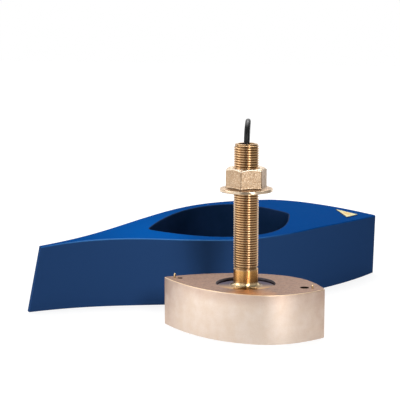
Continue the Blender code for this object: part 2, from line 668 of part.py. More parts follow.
def build_plug(start, rubber, nickel, insert_grey):
    """Round marine connector: strain relief boot, body with a spigot, coupling collar and insert."""
    neck = CABLE_DIAMETER / 2 + BOOT_NECK_WALL
    boot_end = PLUG_BODY_RADIUS - PLUG_EDGE
    boot = [(0.0, PLUG_BOOT_LENGTH), (boot_end, PLUG_BOOT_LENGTH)]
    boot += [(boot_end, PLUG_BOOT_LENGTH - PLUG_BOOT_COLLAR), (neck, 0.0), (0.0, 0.0)]
    lay_along(add_object("plug_boot", turned(boot, 24), rubber), start)
    back = PLUG_BOOT_LENGTH + GAP
    shoulder = back + PLUG_BODY_LENGTH
    front = shoulder + PLUG_SPIGOT_LENGTH
    socket = PLUG_SPIGOT_RADIUS - PLUG_SPIGOT_WALL
    body = [(0.0, shoulder), (socket, shoulder), (socket, front), (PLUG_SPIGOT_RADIUS, front)]
    body += [(PLUG_SPIGOT_RADIUS, shoulder), (PLUG_BODY_RADIUS, shoulder)]
    body += [(PLUG_BODY_RADIUS, back + PLUG_EDGE), (PLUG_BODY_RADIUS - PLUG_EDGE, back), (0.0, back)]
    lay_along(add_object("plug_body", turned(body, 24), nickel), start)
    outer = PLUG_COLLAR_RADIUS
    low = shoulder + GAP
    inner = outer - PLUG_COLLAR_WALL
    lip = PLUG_SPIGOT_RADIUS + GAP
    collar = [(inner, front), (outer - PLUG_EDGE, front), (outer, front - PLUG_EDGE)]
    collar += [(outer, low + PLUG_EDGE), (outer - PLUG_EDGE, low), (lip, low)]
    collar += [(lip, low + PLUG_COLLAR_LIP), (inner, low + PLUG_COLLAR_LIP)]
    lay_along(add_object("plug_collar", turned(collar, 32), nickel), start)
    insert = cylinder(socket - GAP, shoulder + GAP, front, 24)
    lay_along(add_object("plug_insert", insert, insert_grey), start)


def main():
    for thing in list(bpy.data.objects):
        bpy.data.objects.remove(thing, do_unlink=True)
    bronze = material("blasted_bronze", (0.60, 0.44, 0.33), 0.5, 1.0)
    nut_bronze = material("nut_bronze", (0.58, 0.44, 0.31), 0.45, 1.0)
    brass = material("pin_brass", (0.78, 0.57, 0.30), 0.3, 1.0)
    ceramic = material("ceramic", (0.80, 0.76, 0.66), 0.6)
    cork = material("cork", (0.42, 0.27, 0.15), 0.9)
    resin = material("window_resin", (0.05, 0.05, 0.05), 0.4)
    potting_rubber = material("potting_urethane", (0.08, 0.08, 0.09), 0.6)
    board_green = material("circuit_board", (0.03, 0.16, 0.08), 0.5)
    jacket = material("cable_jacket", (0.015, 0.015, 0.015), 0.45)
    urethane = material("blue_urethane", (0.005, 0.10, 0.40), 0.45)
    yellow = material("yellow_label", (0.85, 0.78, 0.45), 0.5)
    boot_rubber = material("boot_rubber", (0.02, 0.02, 0.02), 0.6)
    nickel = material("plug_nickel", (0.62, 0.61, 0.58), 0.3, 1.0)
    insert_grey = material("insert_plastic", (0.05, 0.05, 0.05), 0.5)
    build_housing(bronze)
    build_hull_nut(nut_bronze)
    build_pin("nose_pin", NOSE_PIN_X, NOSE_PIN_HEIGHT, brass)
    build_pin("tail_pin", TAIL_PIN_X, TAIL_PIN_HEIGHT, brass)
    build_elements(ceramic, cork)
    build_inside(resin, potting_rubber, board_green, brass, jacket)
    build_fairing(urethane, yellow)
    plug_start = build_cable(jacket)
    build_plug(plug_start, boot_rubber, nickel, insert_grey)


main()
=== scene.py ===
"""Looks for the bronze through-hull sonar transducer, its cable and its fairing block.

Laid out as a Blender add-on and run as a script. Lengths are millimetres until a mesh is finished,
as in the part's source; the settings that a user would change are in metres.
"""

from functools import partial
from math import atan2, cos, degrees, pi, radians, sin, tan, tau

import bmesh
import bpy
from bpy.props import FloatProperty, FloatVectorProperty, IntProperty, PointerProperty
from mathutils import Matrix, Vector


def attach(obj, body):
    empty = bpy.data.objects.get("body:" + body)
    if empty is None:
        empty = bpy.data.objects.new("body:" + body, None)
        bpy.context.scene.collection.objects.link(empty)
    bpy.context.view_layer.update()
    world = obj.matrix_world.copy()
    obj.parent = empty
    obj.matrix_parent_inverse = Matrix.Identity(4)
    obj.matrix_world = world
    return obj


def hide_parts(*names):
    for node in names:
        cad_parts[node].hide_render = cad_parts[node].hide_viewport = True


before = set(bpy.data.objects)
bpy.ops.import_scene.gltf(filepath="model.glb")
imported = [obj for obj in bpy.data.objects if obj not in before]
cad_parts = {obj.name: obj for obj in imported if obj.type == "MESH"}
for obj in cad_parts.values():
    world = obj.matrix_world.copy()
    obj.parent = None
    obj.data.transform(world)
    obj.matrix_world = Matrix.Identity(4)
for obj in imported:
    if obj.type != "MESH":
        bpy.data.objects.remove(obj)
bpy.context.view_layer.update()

bl_info = {
    "name": "Sonar transducer looks",
    "version": (1, 0, 0),
    "blender": (4, 5, 0),
    "location": "View3D > Sidebar > Transducer",
    "description": "Builds the visible pieces and materials of a bronze sonar transducer",
    "category": "Object",
}

MM = 0.001

# Housing and stem, as in the part's source
HOUSING_HEIGHT = 50.0
NOSE_RADIUS = 5.0
TAIL_RADIUS = 3.0
HOUSING_WALL = 5.0
TOP_PLATE_Z = 40.0
RECESS_RADIUS = 30.3
RECESS_Z = 48.0
STEM_RADIUS = 12.7
STEM_BORE_RADIUS = 8.4
STEM_TOP_Z = 193.5
FOOT_FILLET = 4.5
COLLAR_TOP_Z = 66.0
SEAL_TOP_Z = 190.8
SEAL_LENGTH = 28.0
SEAL_RADIUS = 8.1

# Housing's planform: half-beam, widest station, reach to tail and to nose, power of each end's curve
HOUSING_PLAN_SIZES = (48.8, 11.0, 101.0, 72.6, 2.0, 2.62)

# Station and radius of each fixing hole; node, station and height of each pin
FIXING_HOLES = ((62.0, 4.25), (-71.5, 2.5))
FIXING_HOLE_DEPTH = 12.0
FIXING_HOLE_CHAMFER = 1.7
PINS = (("nose_pin", 70.3, 3.0), ("tail_pin", -77.5, 4.7))
PIN_RADIUS = 1.0

# Hull nut
NUT_UNDERSIDE_Z = 145.2
NUT_TURN = 32.5
NUT_FLANGE_RIM = 3.0
NUT_FLANGE_RISE = 1.5
NUT_HEX_HEIGHT = 19.5
NUT_CORNER_RADIUS = 1.6
NUT_EDGE_RADIUS = 0.7
NUT_BORE_RADIUS = 13.0
NUT_BORE_CHAMFER = 1.2

# Fairing block: its place and yaw, then its outline and how far its ends lean in
BLOCK_PLACE = (-79.7, 169.0, 0.0, 45.8)
BLOCK_HALF_BEAM = 63.0
BLOCK_WIDEST_X = 8.0
BLOCK_NOSE_X = 211.3
BLOCK_TAIL_X = -240.5
BLOCK_NOSE_HALF = 2.0
BLOCK_TAIL_HALF = 3.0
BLOCK_NOSE_POWER = 1.95
BLOCK_TAIL_POWER = 1.2
BLOCK_NOSE_RAKE = 2.1
BLOCK_TAIL_RAKE = 14.9

# Its water face: height, tilt across and along in degrees, and the fall and its power at each end
BLOCK_HEIGHT = 82.3
WATER_FACE_TILT = (10.2, 1.3)
TAIL_FALL_START_X = -95.0
TAIL_FALL = (7.0, 1.7)
NOSE_FALL_START_X = 90.0
NOSE_FALL = (13.9, 1.5)

# Its pocket and the label on it: x, y and turn, then length, width and thickness
POCKET_CLEARANCE = 4.5
POCKET_DEPTH = 50.5
POCKET_TAIL_RADIUS = 4.5
STEM_HOLE_RADIUS = 13.5
PIN_SOCKET_RADIUS = 1.8
LABEL_PLACE = (173.5, -3.9, -5.5)
LABEL_SIZE = (24.4, 33.0, 0.4)
LABEL_GAP = 0.3

# Cable, coil and plug
LEAD_YAW = 17.1
COIL_REACH = 372.0
OUTER_TURN_RADIUS = 58.7
TURN_PITCH = 5.8
COIL_LAYERS = 7
TAIL_RUN = 60.3
PLUG_START = (313.3, 28.2, 11.5)
STRAP_TURN = 140.0

# Winding of the coil in degrees: its first step over, how often one comes, its sweep, the last turn
FIRST_STEP = 75
STEP_EVERY = 310
STEP_SWEEP = 50
LAST_SWEEP = 315

# Pieces of the plug, with the slot and the node of each
PLUG = {"plug_strain_relief": ("boot_rubber", "plug_boot"),
        "plug_shell": ("plug_nickel", "plug_body"),
        "plug_coupling": ("plug_nickel", "plug_collar"),
        "plug_face": ("insert_plastic", "plug_insert")}

# Camera, in millimetres about the stem's axis
CAMERA_PLACE = (353.0, -1148.2, 324.2)
CAMERA_AIM = (19.32, 8.91)  # turned from straight along +Y, and pitched down, in degrees
LENS = 108.0

# What metal mirrors: directions, where each begins and is full as a cosine, and its strength
ROOM_LIGHTS = (((-0.6, 0.8, 0.0), 0.25, 0.5, 1.1), ((-0.795, -0.606, 0.0), 0.56, 0.8, 0.95),
               ((0.723, -0.691, 0.0), 0.988, 0.998, 4.5), ((1.0, 0.0, 0.0), 0.6, 0.9, 0.48))
ROOM_DIM = 0.15

# On the floor that picture begins and is full at these distances; nearer, the floor has one strength
ROOM_BEGINS = (0.15, 0.3)
ROOM_NEAR = 0.68

# Lamps: name, place, width and height in metres, and watts
LAMPS = (("top_light", (-0.3, 0.9, 1.5), 1.2, 1.2, 26.0),
         ("strip_light", (0.8, -1.04, 0.85), 0.3, 0.6, 8.6),
         ("left_light", (-1.3, -0.7, 0.6), 0.9, 1.1, 8.0),
         ("front_light", (0.1, -1.9, 1.1), 1.4, 0.8, 3.0))
LAMP_AIM = (0.0, 0.1, 0.08)


def linear(code):
    """An sRGB hex colour in the linear values that Blender mixes light with."""
    shares = [int(code[i:i + 2], 16) / 255 for i in (0, 2, 4)]
    return tuple(s / 12.92 if s <= 0.04045 else ((s + 0.055) / 1.055) ** 2.4 for s in shares)


def length(name, description, default):
    """A size that a user may change, given here in millimetres."""
    return FloatProperty(name=name, description=description, default=default * MM, min=0.0, unit="LENGTH")


def colour(name, description, code):
    """A colour that a user may change."""
    return FloatVectorProperty(name=name, description=description, default=linear(code), subtype="COLOR",
                               min=0.0, max=1.0)


class HousingSettings(bpy.types.PropertyGroup):
    edge: length("Edge", "Radius of the housing's long edges", 1.1)
    pitch: length("Thread pitch", "Rise of one turn of the stem's thread", 2.44)
    depth: length("Thread depth", "Height of the thread over its root", 1.15)
    cast: colour("Blasted bronze", "Sides of the housing", "EBDACC")
    # The top's darker colour is partly its ground finish, partly painted shade
    top: colour("Top bronze", "Darker, ground top of the housing", "886B58")
    machined: colour("Machined bronze", "Stem and fillet", "D9B48A")
    lapped: colour("Lapped bronze", "Floor of the recess", "625650")


class NutSettings(bpy.types.PropertyGroup):
    flats: length("Across flats", "Width of the hexagon", 37.5)
    flange: length("Flange radius", "Reach of the nut's flange", 27.1)
    bronze: colour("Nut bronze", "Blasted casting", "A98E72")
    # The edges' lighter colour is partly rubbed bronze, partly a painted highlight
    edge: colour("Rubbed bronze", "Where the casting's edges are rubbed bright", "F4E6D2")


class BlockSettings(bpy.types.PropertyGroup):
    edge: length("Edge", "Radius of the block's upper edge", 1.6)
    rim: length("Pocket rim", "Radius of the pocket's upper edge", 1.2)
    urethane: colour("Urethane", "Moulded block", "06468B")
    # The sides' greyer colour is painted shade and sheen
    side: colour("Side", "Sides of the block, a little greyer", "32578F")
    # The pocket's dark colour is painted shade
    pocket: colour("Pocket", "Inside of the pocket, left as moulded", "1D365E")
    label: colour("Label", "Face of the arrow label", "ECE4AC")
    border: colour("Label border", "Edge of the arrow label", "3E3C2C")


class CableSettings(bpy.types.PropertyGroup):
    diameter: length("Cable", "Diameter of the cable", 5.6)
    ridges: IntProperty(name="Grip ridges", description="Ridges round the plug's collar", default=36, min=3)
    jacket: colour("Jacket", "Cable, boot and insert", "0C0D0E")
    nickel: colour("Nickel", "Plated plug", "CFCBC2")


class StageSettings(bpy.types.PropertyGroup):
    floor: colour("Floor", "Colour that the floor lights the object with", "8C8C8C")
    world: FloatProperty(name="World", description="Strength of the even studio light", default=0.08, min=0.0)


def add_node(tree, kind, inputs=None, **settings):
    """Add a node with its settings. Each input is a value, a colour, or what it is linked to.

    A shader node's kind goes without ShaderNode before it. A colour is linear or a hex code. A Mix
    node's share is input 0, its values are 2 and 3, and its colours 6 and 7.
    """
    made = tree.nodes.new(kind if "Node" in kind else "ShaderNode" + kind)
    for name, value in settings.items():
        setattr(made, name, value)
    for key, value in (inputs or {}).items():
        socket = made.inputs[key]
        if isinstance(value, bpy.types.Node):
            value = next(output for output in value.outputs if output.enabled)
        if isinstance(value, bpy.types.NodeSocket):
            tree.links.new(value, socket)
        elif socket.type == "RGBA":
            value = linear(value) if isinstance(value, str) else value
            socket.default_value = (*value, 1.0)[:4]
        else:
            socket.default_value = value
    return made


def ramp(tree, value, begin, full, low=0.0, high=1.0):
    """A Map Range node: low where a value is at begin, and high from full on."""
    return add_node(tree, "MapRange", {
        "Value": value, "From Min": begin, "From Max": full, "To Min": low, "To Max": high})


def blend(tree, below, tone, value, begin, full, most=1.0):
    """Mix a colour over another: none of it where a value is at begin, and most of it from full on."""
    share = ramp(tree, value, begin, full, high=most)
    return add_node(tree, "Mix", {0: share, 6: below, 7: tone}, data_type="RGBA")


def over(made, tone, value, begin, full, most=1.0):
    """Lay a colour over a material's own, as blend() does."""
    tree = made.node_tree
    base = tree.nodes["shader"].inputs["Base Color"]
    mixed = blend(tree, base.links[0].from_socket, tone, value, begin, full, most)
    tree.links.new(mixed.outputs[2], base)


def reopen(made):
    """What it takes to lay more over a material: the way to add its nodes, and its coordinates."""
    return partial(add_node, made.node_tree), made.node_tree.nodes["place"].outputs


def emptied(made):
    """Clear the nodes of a material or a world: its tree, and the way to add to it."""
    made.use_nodes = True
    made.node_tree.nodes.clear()
    return made.node_tree, partial(add_node, made.node_tree)


def surface(name, light, dark, patch, grain, roughness, metallic=0.0, relief=0.02,
            stretch=(1, 1, 1), **shader):
    """A material whose tone drifts over patches, and whose gloss and relief follow a grain.

    Patch, grain and relief are in millimetres. A real grain that is too fine to show in the render,
    such as that of blasting, turning or weaving, is given as coarse as it needs to show. The nodes
    called place and shader are there for what is laid over the material.
    """
    made = bpy.data.materials.new(name)
    tree, add = emptied(made)
    place = add("TexCoord", name="place").outputs["Object"]
    drift = add("TexNoise", {"Vector": place, "Scale": 1 / (patch * MM), "Detail": 3.0})
    place = add("Mapping", {"Vector": place, "Scale": stretch})
    fine = add("TexNoise", {"Vector": place, "Scale": 1 / (grain * MM), "Detail": 2.0})
    gloss = ramp(tree, fine, 0.3, 0.7, *roughness)
    bump = add("Bump", {"Height": fine, "Distance": relief * MM, "Strength": 1.0})
    inputs = {"Base Color": blend(tree, dark, light, drift, 0.32, 0.68), "Roughness": gloss,
              "Normal": bump, "Metallic": metallic}
    inputs.update({key.replace("_", " "): value for key, value in shader.items()})
    add("OutputMaterial", {"Surface": add("BsdfPrincipled", inputs, name="shader")})
    return made


def room(tree, direction):
    """How bright metal finds each direction: backdrop, soft boxes, and the dim room between them."""
    add = partial(add_node, tree)
    flat = add("VectorMath", {0: direction, 1: (1, 1, 0)}, operation="MULTIPLY")
    flat = add("VectorMath", {0: flat}, operation="NORMALIZE")
    lit = None
    for towards, begin, full, strength in ROOM_LIGHTS:
        share = add("VectorMath", {0: flat, 1: towards}, operation="DOT_PRODUCT")
        share = ramp(tree, share, begin, full, ROOM_DIM, strength)
        lit = add("Math", {0: lit, 1: share}, operation="MAXIMUM") if lit else share
    return lit


def linked(name, data):
    """A new object in the scene."""
    made = bpy.data.objects.new(name, data)
    bpy.context.scene.collection.objects.link(made)
    return made


def new_object(name, shape, *finishes):
    """Turn a bmesh, drawn in millimetres, into an object in metres whose place is in its mesh."""
    bmesh.ops.scale(shape, vec=(MM, MM, MM), verts=shape.verts)
    bmesh.ops.recalc_face_normals(shape, faces=shape.faces)
    mesh = bpy.data.meshes.new(name)
    shape.to_mesh(mesh)
    shape.free()
    for finish in finishes:
        mesh.materials.append(finish)
    return linked(name, mesh)


def settle(thing, sharp=32.0):
    """Make an object the plain mesh that its modifiers give, smooth up to an angle, and drop its cutters."""
    cutters = [step.object for step in thing.modifiers if step.type == "BOOLEAN"]
    for weigh in (False, True):
        if weigh:
            thing.data.shade_smooth()
            thing.data.set_sharp_from_angle(angle=radians(sharp))
            thing.modifiers.new("weigh", "WEIGHTED_NORMAL").keep_sharp = True
        bpy.context.view_layer.update()
        graph = bpy.context.evaluated_depsgraph_get()
        mesh = bpy.data.meshes.new_from_object(thing.evaluated_get(graph), depsgraph=graph)
        thing.modifiers.clear()
        thing.data = mesh
    for cutter in cutters:
        bpy.data.objects.remove(cutter, do_unlink=True)
    return thing


def combine(thing, shape, *finishes, operation="DIFFERENCE"):
    """Cut a shape out of an object, or join it, with an exact Boolean modifier; settle() applies it."""
    step = thing.modifiers.new(operation, "BOOLEAN")
    step.operation = operation
    step.solver = "EXACT"
    step.object = new_object("cutter", shape, *finishes)


def present(thing, slot, *nodes):
    """Attach a finished piece to the root and hide the nodes it stands for; its slot is not used."""
    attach(thing, "root")
    if nodes:
        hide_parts(*nodes)


def skin(rings, closed=False):
    """Join rings of equally many points; the ends are capped, or joined to each other if closed."""
    shape = bmesh.new()
    loops = [[shape.verts.new(point) for point in ring] for ring in rings]
    pairs = list(zip(loops, loops[1:] + loops[:1])) if closed else list(zip(loops, loops[1:]))
    count = len(loops[0])
    for lower, upper in pairs:
        for i in range(count):
            j = (i + 1) % count
            shape.faces.new((lower[i], lower[j], upper[j], upper[i]))
    if not closed:
        shape.faces.new(list(reversed(loops[0])))
        shape.faces.new(loops[-1])
    return shape


def turned(profile, steps=96):
    """Spin an outline of (radius, z) points about +Z: from the axis round to the axis, or a closed loop."""
    shape = bmesh.new()
    verts = [shape.verts.new((radius, 0.0, z)) for radius, z in profile]
    edges = [shape.edges.new(pair) for pair in zip(verts, verts[1:])]
    if profile[0][0] > 0.0:
        edges.append(shape.edges.new((verts[-1], verts[0])))
    bmesh.ops.spin(shape, geom=verts + edges, axis=(0, 0, 1), cent=(0, 0, 0), angle=tau, steps=steps)
    bmesh.ops.remove_doubles(shape, verts=shape.verts, dist=0.001)
    return shape


def rod(radius, low, high, steps=96):
    """A plain round bar about +Z."""
    return turned([(0.0, high), (radius, high), (radius, low), (0.0, low)], steps)


def mark(shape, name, shares):
    """Write one value for each ring of a skin onto its points, for a material to read."""
    layer = shape.verts.layers.float.new(name)
    count = len(shape.verts) // len(shares)
    for i, vert in enumerate(shape.verts):
        vert[layer] = shares[i // count]


def at(x, y=0.0, z=0.0, turn=0.0):
    """Matrix that turns a thing about +Z, in degrees, and puts it at a place."""
    return Matrix.Translation((x, y, z)) @ Matrix.Rotation(radians(turn), 4, "Z")


def moved(shape, matrix):
    """Move a bmesh by a matrix in millimetres."""
    bmesh.ops.transform(shape, matrix=matrix, verts=shape.verts)
    return shape


def arc(centre, radius, start, end, steps):
    """Points on an arc in a plane, with angles in degrees."""
    points = []
    for i in range(steps + 1):
        angle = radians(start + (end - start) * i / steps)
        points.append((centre[0] + radius * cos(angle), centre[1] + radius * sin(angle)))
    return points


def rounding(radius):
    """A rounded edge from the side up: how far each of its points lies in, and how far down."""
    turns = [radians(18 * i) for i in range(6)]
    return [(radius * (1 - cos(turn)), radius * (1 - sin(turn))) for turn in turns]


def half_breadth(x):
    """Half-breadth of the housing's planform at a station."""
    half, widest, tail, nose, tail_power, nose_power = HOUSING_PLAN_SIZES
    reach, power = (nose, nose_power) if x >= widest else (tail, tail_power)
    return half * (1.0 - (abs(x - widest) / reach) ** power)


def flank_normal(x):
    """Outward normal of the housing's side at a station."""
    slope = (half_breadth(x + 0.01) - half_breadth(x - 0.01)) / 0.02
    return Vector((-slope, 1.0)).normalized()


def end_arc(sign, offset, radius, steps):
    """Where an end's arc leaves the flank, and its points from the tip round to there."""
    half, widest, tail, nose, _, _ = HOUSING_PLAN_SIZES
    near = widest
    far = widest + (nose if sign > 0 else -tail)
    for _ in range(50):
        middle = (near + far) / 2
        if half_breadth(middle) > (radius - offset) * flank_normal(middle).y:
            near = middle
        else:
            far = middle
    normal = flank_normal(near)
    turn = degrees(atan2(normal.y, normal.x))
    start = 0.0 if sign > 0 else 180.0
    return near, arc((near + (offset - radius) * normal.x, 0.0), radius, start, turn, steps)


def plan(z, offset=0.0, nose_radius=NOSE_RADIUS, tail_radius=TAIL_RADIUS, steps=72, arc_steps=10):
    """The housing's planform at a height, moved out by offset, counter-clockwise from the nose."""
    nose_station, nose = end_arc(1, offset, nose_radius, arc_steps)
    tail_station, tail = end_arc(-1, offset, tail_radius, arc_steps)
    half = nose
    for i in range(1, steps):
        x = nose_station + (tail_station - nose_station) * (1 - cos(pi * i / steps)) / 2
        point = Vector((x, half_breadth(x))) + offset * flank_normal(x)
        half.append((point.x, point.y))
    half.extend(reversed(tail))
    return [(x, y, z) for x, y in half + [(x, -y) for x, y in reversed(half[1:-1])]]


def lead_point(reach, side, z):
    """A point behind the stem in the upright plane that the cable falls in, in metres."""
    yaw = radians(LEAD_YAW)
    away = Vector((-sin(yaw), cos(yaw)))
    spot = away * reach + Vector((away.y, -away.x)) * side
    return Vector((spot.x, spot.y, z)) * MM


def smooth_route(points, spacing):
    """Points at an even spacing on a smooth curve through the route's own points."""
    ends = [2 * points[0] - points[1]] + points + [2 * points[-1] - points[-2]]
    fine = []
    for a, b, c, d in zip(ends, ends[1:], ends[2:], ends[3:]):
        for i in range(20):
            t = i / 20
            bend = (2 * a - 5 * b + 4 * c - d) * t**2 + (3 * b - 3 * c + d - a) * t**3
            fine.append(0.5 * (2 * b + (c - a) * t + bend))
    fine.append(points[-1])
    lengths = [0.0]
    for start, end in zip(fine, fine[1:]):
        lengths.append(lengths[-1] + (end - start).length)
    count = max(2, round(lengths[-1] / spacing))
    route = []
    position = 0
    for i in range(count + 1):
        goal = lengths[-1] * i / count
        while position < len(fine) - 2 and lengths[position + 1] < goal:
            position += 1
        share = (goal - lengths[position]) / (lengths[position + 1] - lengths[position])
        route.append(fine[position].lerp(fine[position + 1], min(share, 1.0)))
    return route


def coil_cells():
    """Column and layer of each turn in the order it is wound, from the top outside to the bottom outside."""
    cells = [(0, row) for row in range(6)] + [(1, row) for row in range(5, -1, -1)]
    cells += [(2, 0), (2, 1), (3, 1), (3, 2), (2, 2), (2, 3), (3, 3), (3, 4), (2, 4), (2, 5), (3, 5)]
    return cells + [(3, 6), (2, 6), (1, 6), (0, 6)]


def coil_points(steps=36):
    """Points of the wound part, where each turn ends in a step over to the next place."""
    cells = coil_cells()
    last = FIRST_STEP + STEP_EVERY * (len(cells) - 1) + LAST_SWEEP
    count = round(last / 360 * steps)
    points = []
    for i in range(count + 1):
        angle = last * i / count
        step = min(max(int((angle - FIRST_STEP) // STEP_EVERY), -1), len(cells) - 2)
        share = (angle - FIRST_STEP - STEP_EVERY * step) / STEP_SWEEP if step >= 0 else 1.0
        share = min(max(share, 0.0), 1.0)
        share = share * share * (3 - 2 * share)
        start = cells[max(step, 0)]
        end = cells[step + 1]
        column = start[0] + (end[0] - start[0]) * share
        row = start[1] + (end[1] - start[1]) * share
        radius = OUTER_TURN_RADIUS - TURN_PITCH * column
        reach = COIL_REACH + radius * sin(radians(angle))
        side = radius * cos(radians(angle)) - OUTER_TURN_RADIUS
        points.append(lead_point(reach, side, (COIL_LAYERS - 0.5 - row) * TURN_PITCH))
    return points


def cable_route():
    """The whole cable: out of the stem, over the block, down to the coil and out to the plug."""
    fall = [(0, 0, SEAL_TOP_Z + 2.8)]
    fall += [(0.5, 0.1, 198), (2.4, 0.3, 203), (6.2, 0.6, 207.8), (11.8, 1.1, 211.5), (19.5, 1.4, 213.6)]
    fall += [(30, 1.6, 213), (55, 1.4, 206.2), (92, 1, 190), (135, 0.5, 168), (180, 0, 144)]
    fall += [(222, 0, 120.4), (252, 0, 106.4), (275, 0, 90.8), (294, 0, 69), (312, 0, 50.5)]
    fall += [(330, 0, 40.5), (341.4, 0, 37.7)]
    reach, side, z = PLUG_START
    low = TURN_PITCH / 2
    begin = side - TAIL_RUN
    tail = [(reach, begin + 4, low), (reach, begin + 16, low + 0.9), (reach, begin + 30, (low + z) / 2)]
    tail += [(reach, begin + 44, z - 0.9), (reach, begin + 56, z)]
    route = [lead_point(0, 0, SEAL_TOP_Z + 0.3)]
    route += smooth_route([lead_point(*point) for point in fall], 5 * MM)
    route += coil_points()
    route += smooth_route([lead_point(*point) for point in tail], 5 * MM)
    return route + [lead_point(reach, side - 0.3, z)]


class MakeCable(bpy.types.Operator):
    """Lay the cable from the stem to its coil and hold the coil with a strap"""

    bl_idname = "transducer.make_cable"
    bl_label = "Cable"

    def execute(self, context):
        sizes = context.scene.transducer_cable
        # Polyether urethane jacket, extruded: an even satin black with a faint drag along it
        jacket = surface("extruded_urethane_jacket", sizes.jacket, "0A0A0B", 30, 0.8, (0.38, 0.46),
                         Specular_IOR_Level=0.25)
        curve = bpy.data.curves.new("cable_run", "CURVE")
        curve.dimensions = "3D"
        curve.bevel_depth = sizes.diameter / 2
        curve.bevel_resolution = 6
        curve.use_fill_caps = True
        route = cable_route()
        spline = curve.splines.new("POLY")
        spline.points.add(len(route) - 1)
        for vertex, point in zip(spline.points, route):
            vertex.co = (*point, 1.0)
        spline.use_smooth = True
        curve.materials.append(jacket)
        cable = linked("cable_run", curve)
        present(cable, "cable_jacket", "cable", "cable_coil", "cable_tail")
        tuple(route[0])
        build_strap()
        return {"FINISHED"}


def build_strap():
    """A hook-and-loop strap round the coil's turns."""
    # Woven nylon: dull and nearly black
    nylon = surface("woven_nylon_strap", "2A2B2E", "1D1E20", 4, 0.9, (0.8, 0.95), relief=0.12)
    # Corners of the bundle that it goes round
    centre = OUTER_TURN_RADIUS - 1.5 * TURN_PITCH
    wide = 2.0 * TURN_PITCH - 2.0
    high = COIL_LAYERS * TURN_PITCH / 2 - 2.5
    corners = (((wide, high), 0), ((-wide, high), 90), ((-wide, -high), 180), ((wide, -high), 270))
    middle = COIL_LAYERS * TURN_PITCH / 2 + 0.3
    # Its section, as distance along the coil and radius round the corners
    section = ((-6.0, 2.85), (-5.7, 3.0), (5.7, 3.0), (6.0, 2.85),
               (6.0, 2.15), (5.7, 2.0), (-5.7, 2.0), (-6.0, 2.15))
    rings = []
    for along, radius in section:
        ring = []
        for corner, start in corners:
            ring += [(centre + x, along, middle + z) for x, z in arc(corner, radius, start, start + 90, 6)]
        rings.append(ring)
    seat = at(*lead_point(COIL_REACH, -OUTER_TURN_RADIUS, 0) / MM, STRAP_TURN + LEAD_YAW)
    shape = moved(skin(rings, closed=True), seat)
    present(settle(new_object("coil_strap", shape, nylon)), "boot_rubber")


def grow(host, name, values, draw):
    """Add a Geometry Nodes modifier that has a named input for each value and the nodes of draw()."""
    kinds = {int: "NodeSocketInt", float: "NodeSocketFloat", tuple: "NodeSocketVector",
             bpy.types.Material: "NodeSocketMaterial"}
    tree = bpy.data.node_groups.new(name, "GeometryNodeTree")
    add_socket = tree.interface.new_socket
    add_socket("Geometry", in_out="INPUT", socket_type="NodeSocketGeometry")
    keys = {}
    for label, value in values.items():
        keys[label] = add_socket(label, in_out="INPUT", socket_type=kinds[type(value)]).identifier
    add_socket("Geometry", in_out="OUTPUT", socket_type="NodeSocketGeometry")
    given = add_node(tree, "NodeGroupInput").outputs
    real = add_node(tree, "GeometryNodeRealizeInstances", {"Geometry": draw(tree, given)})
    dressed = add_node(tree, "GeometryNodeSetMaterial", {"Geometry": real, "Material": given["Finish"]})
    add_node(tree, "NodeGroupOutput", {"Geometry": dressed})
    step = host.modifiers.new(name, "NODES")
    step.node_group = tree
    for label, value in values.items():
        step[keys[label]] = value


def draw_ridges(tree, given):
    """The host's own mesh with small bars stood in a ring round its axis."""
    add = partial(add_node, tree)
    circle = add("GeometryNodeMeshCircle", {"Vertices": given["Count"], "Radius": given["Radius"]})
    bar = add("GeometryNodeMeshCube", {"Size": given["Size"]})
    outwards = add("GeometryNodeInputPosition")
    turn = add("FunctionNodeAlignRotationToVector", {"Vector": outwards}, axis="X")
    ring = add("GeometryNodeInstanceOnPoints", {"Points": circle, "Instance": bar, "Rotation": turn})
    lift = add("CombineXYZ", {"Z": given["Middle"]})
    ring = add("GeometryNodeTransform", {"Geometry": ring, "Translation": lift})
    both = add("GeometryNodeJoinGeometry", {"Geometry": given["Geometry"]})
    tree.links.new(ring.outputs[0], both.inputs[0])
    return both


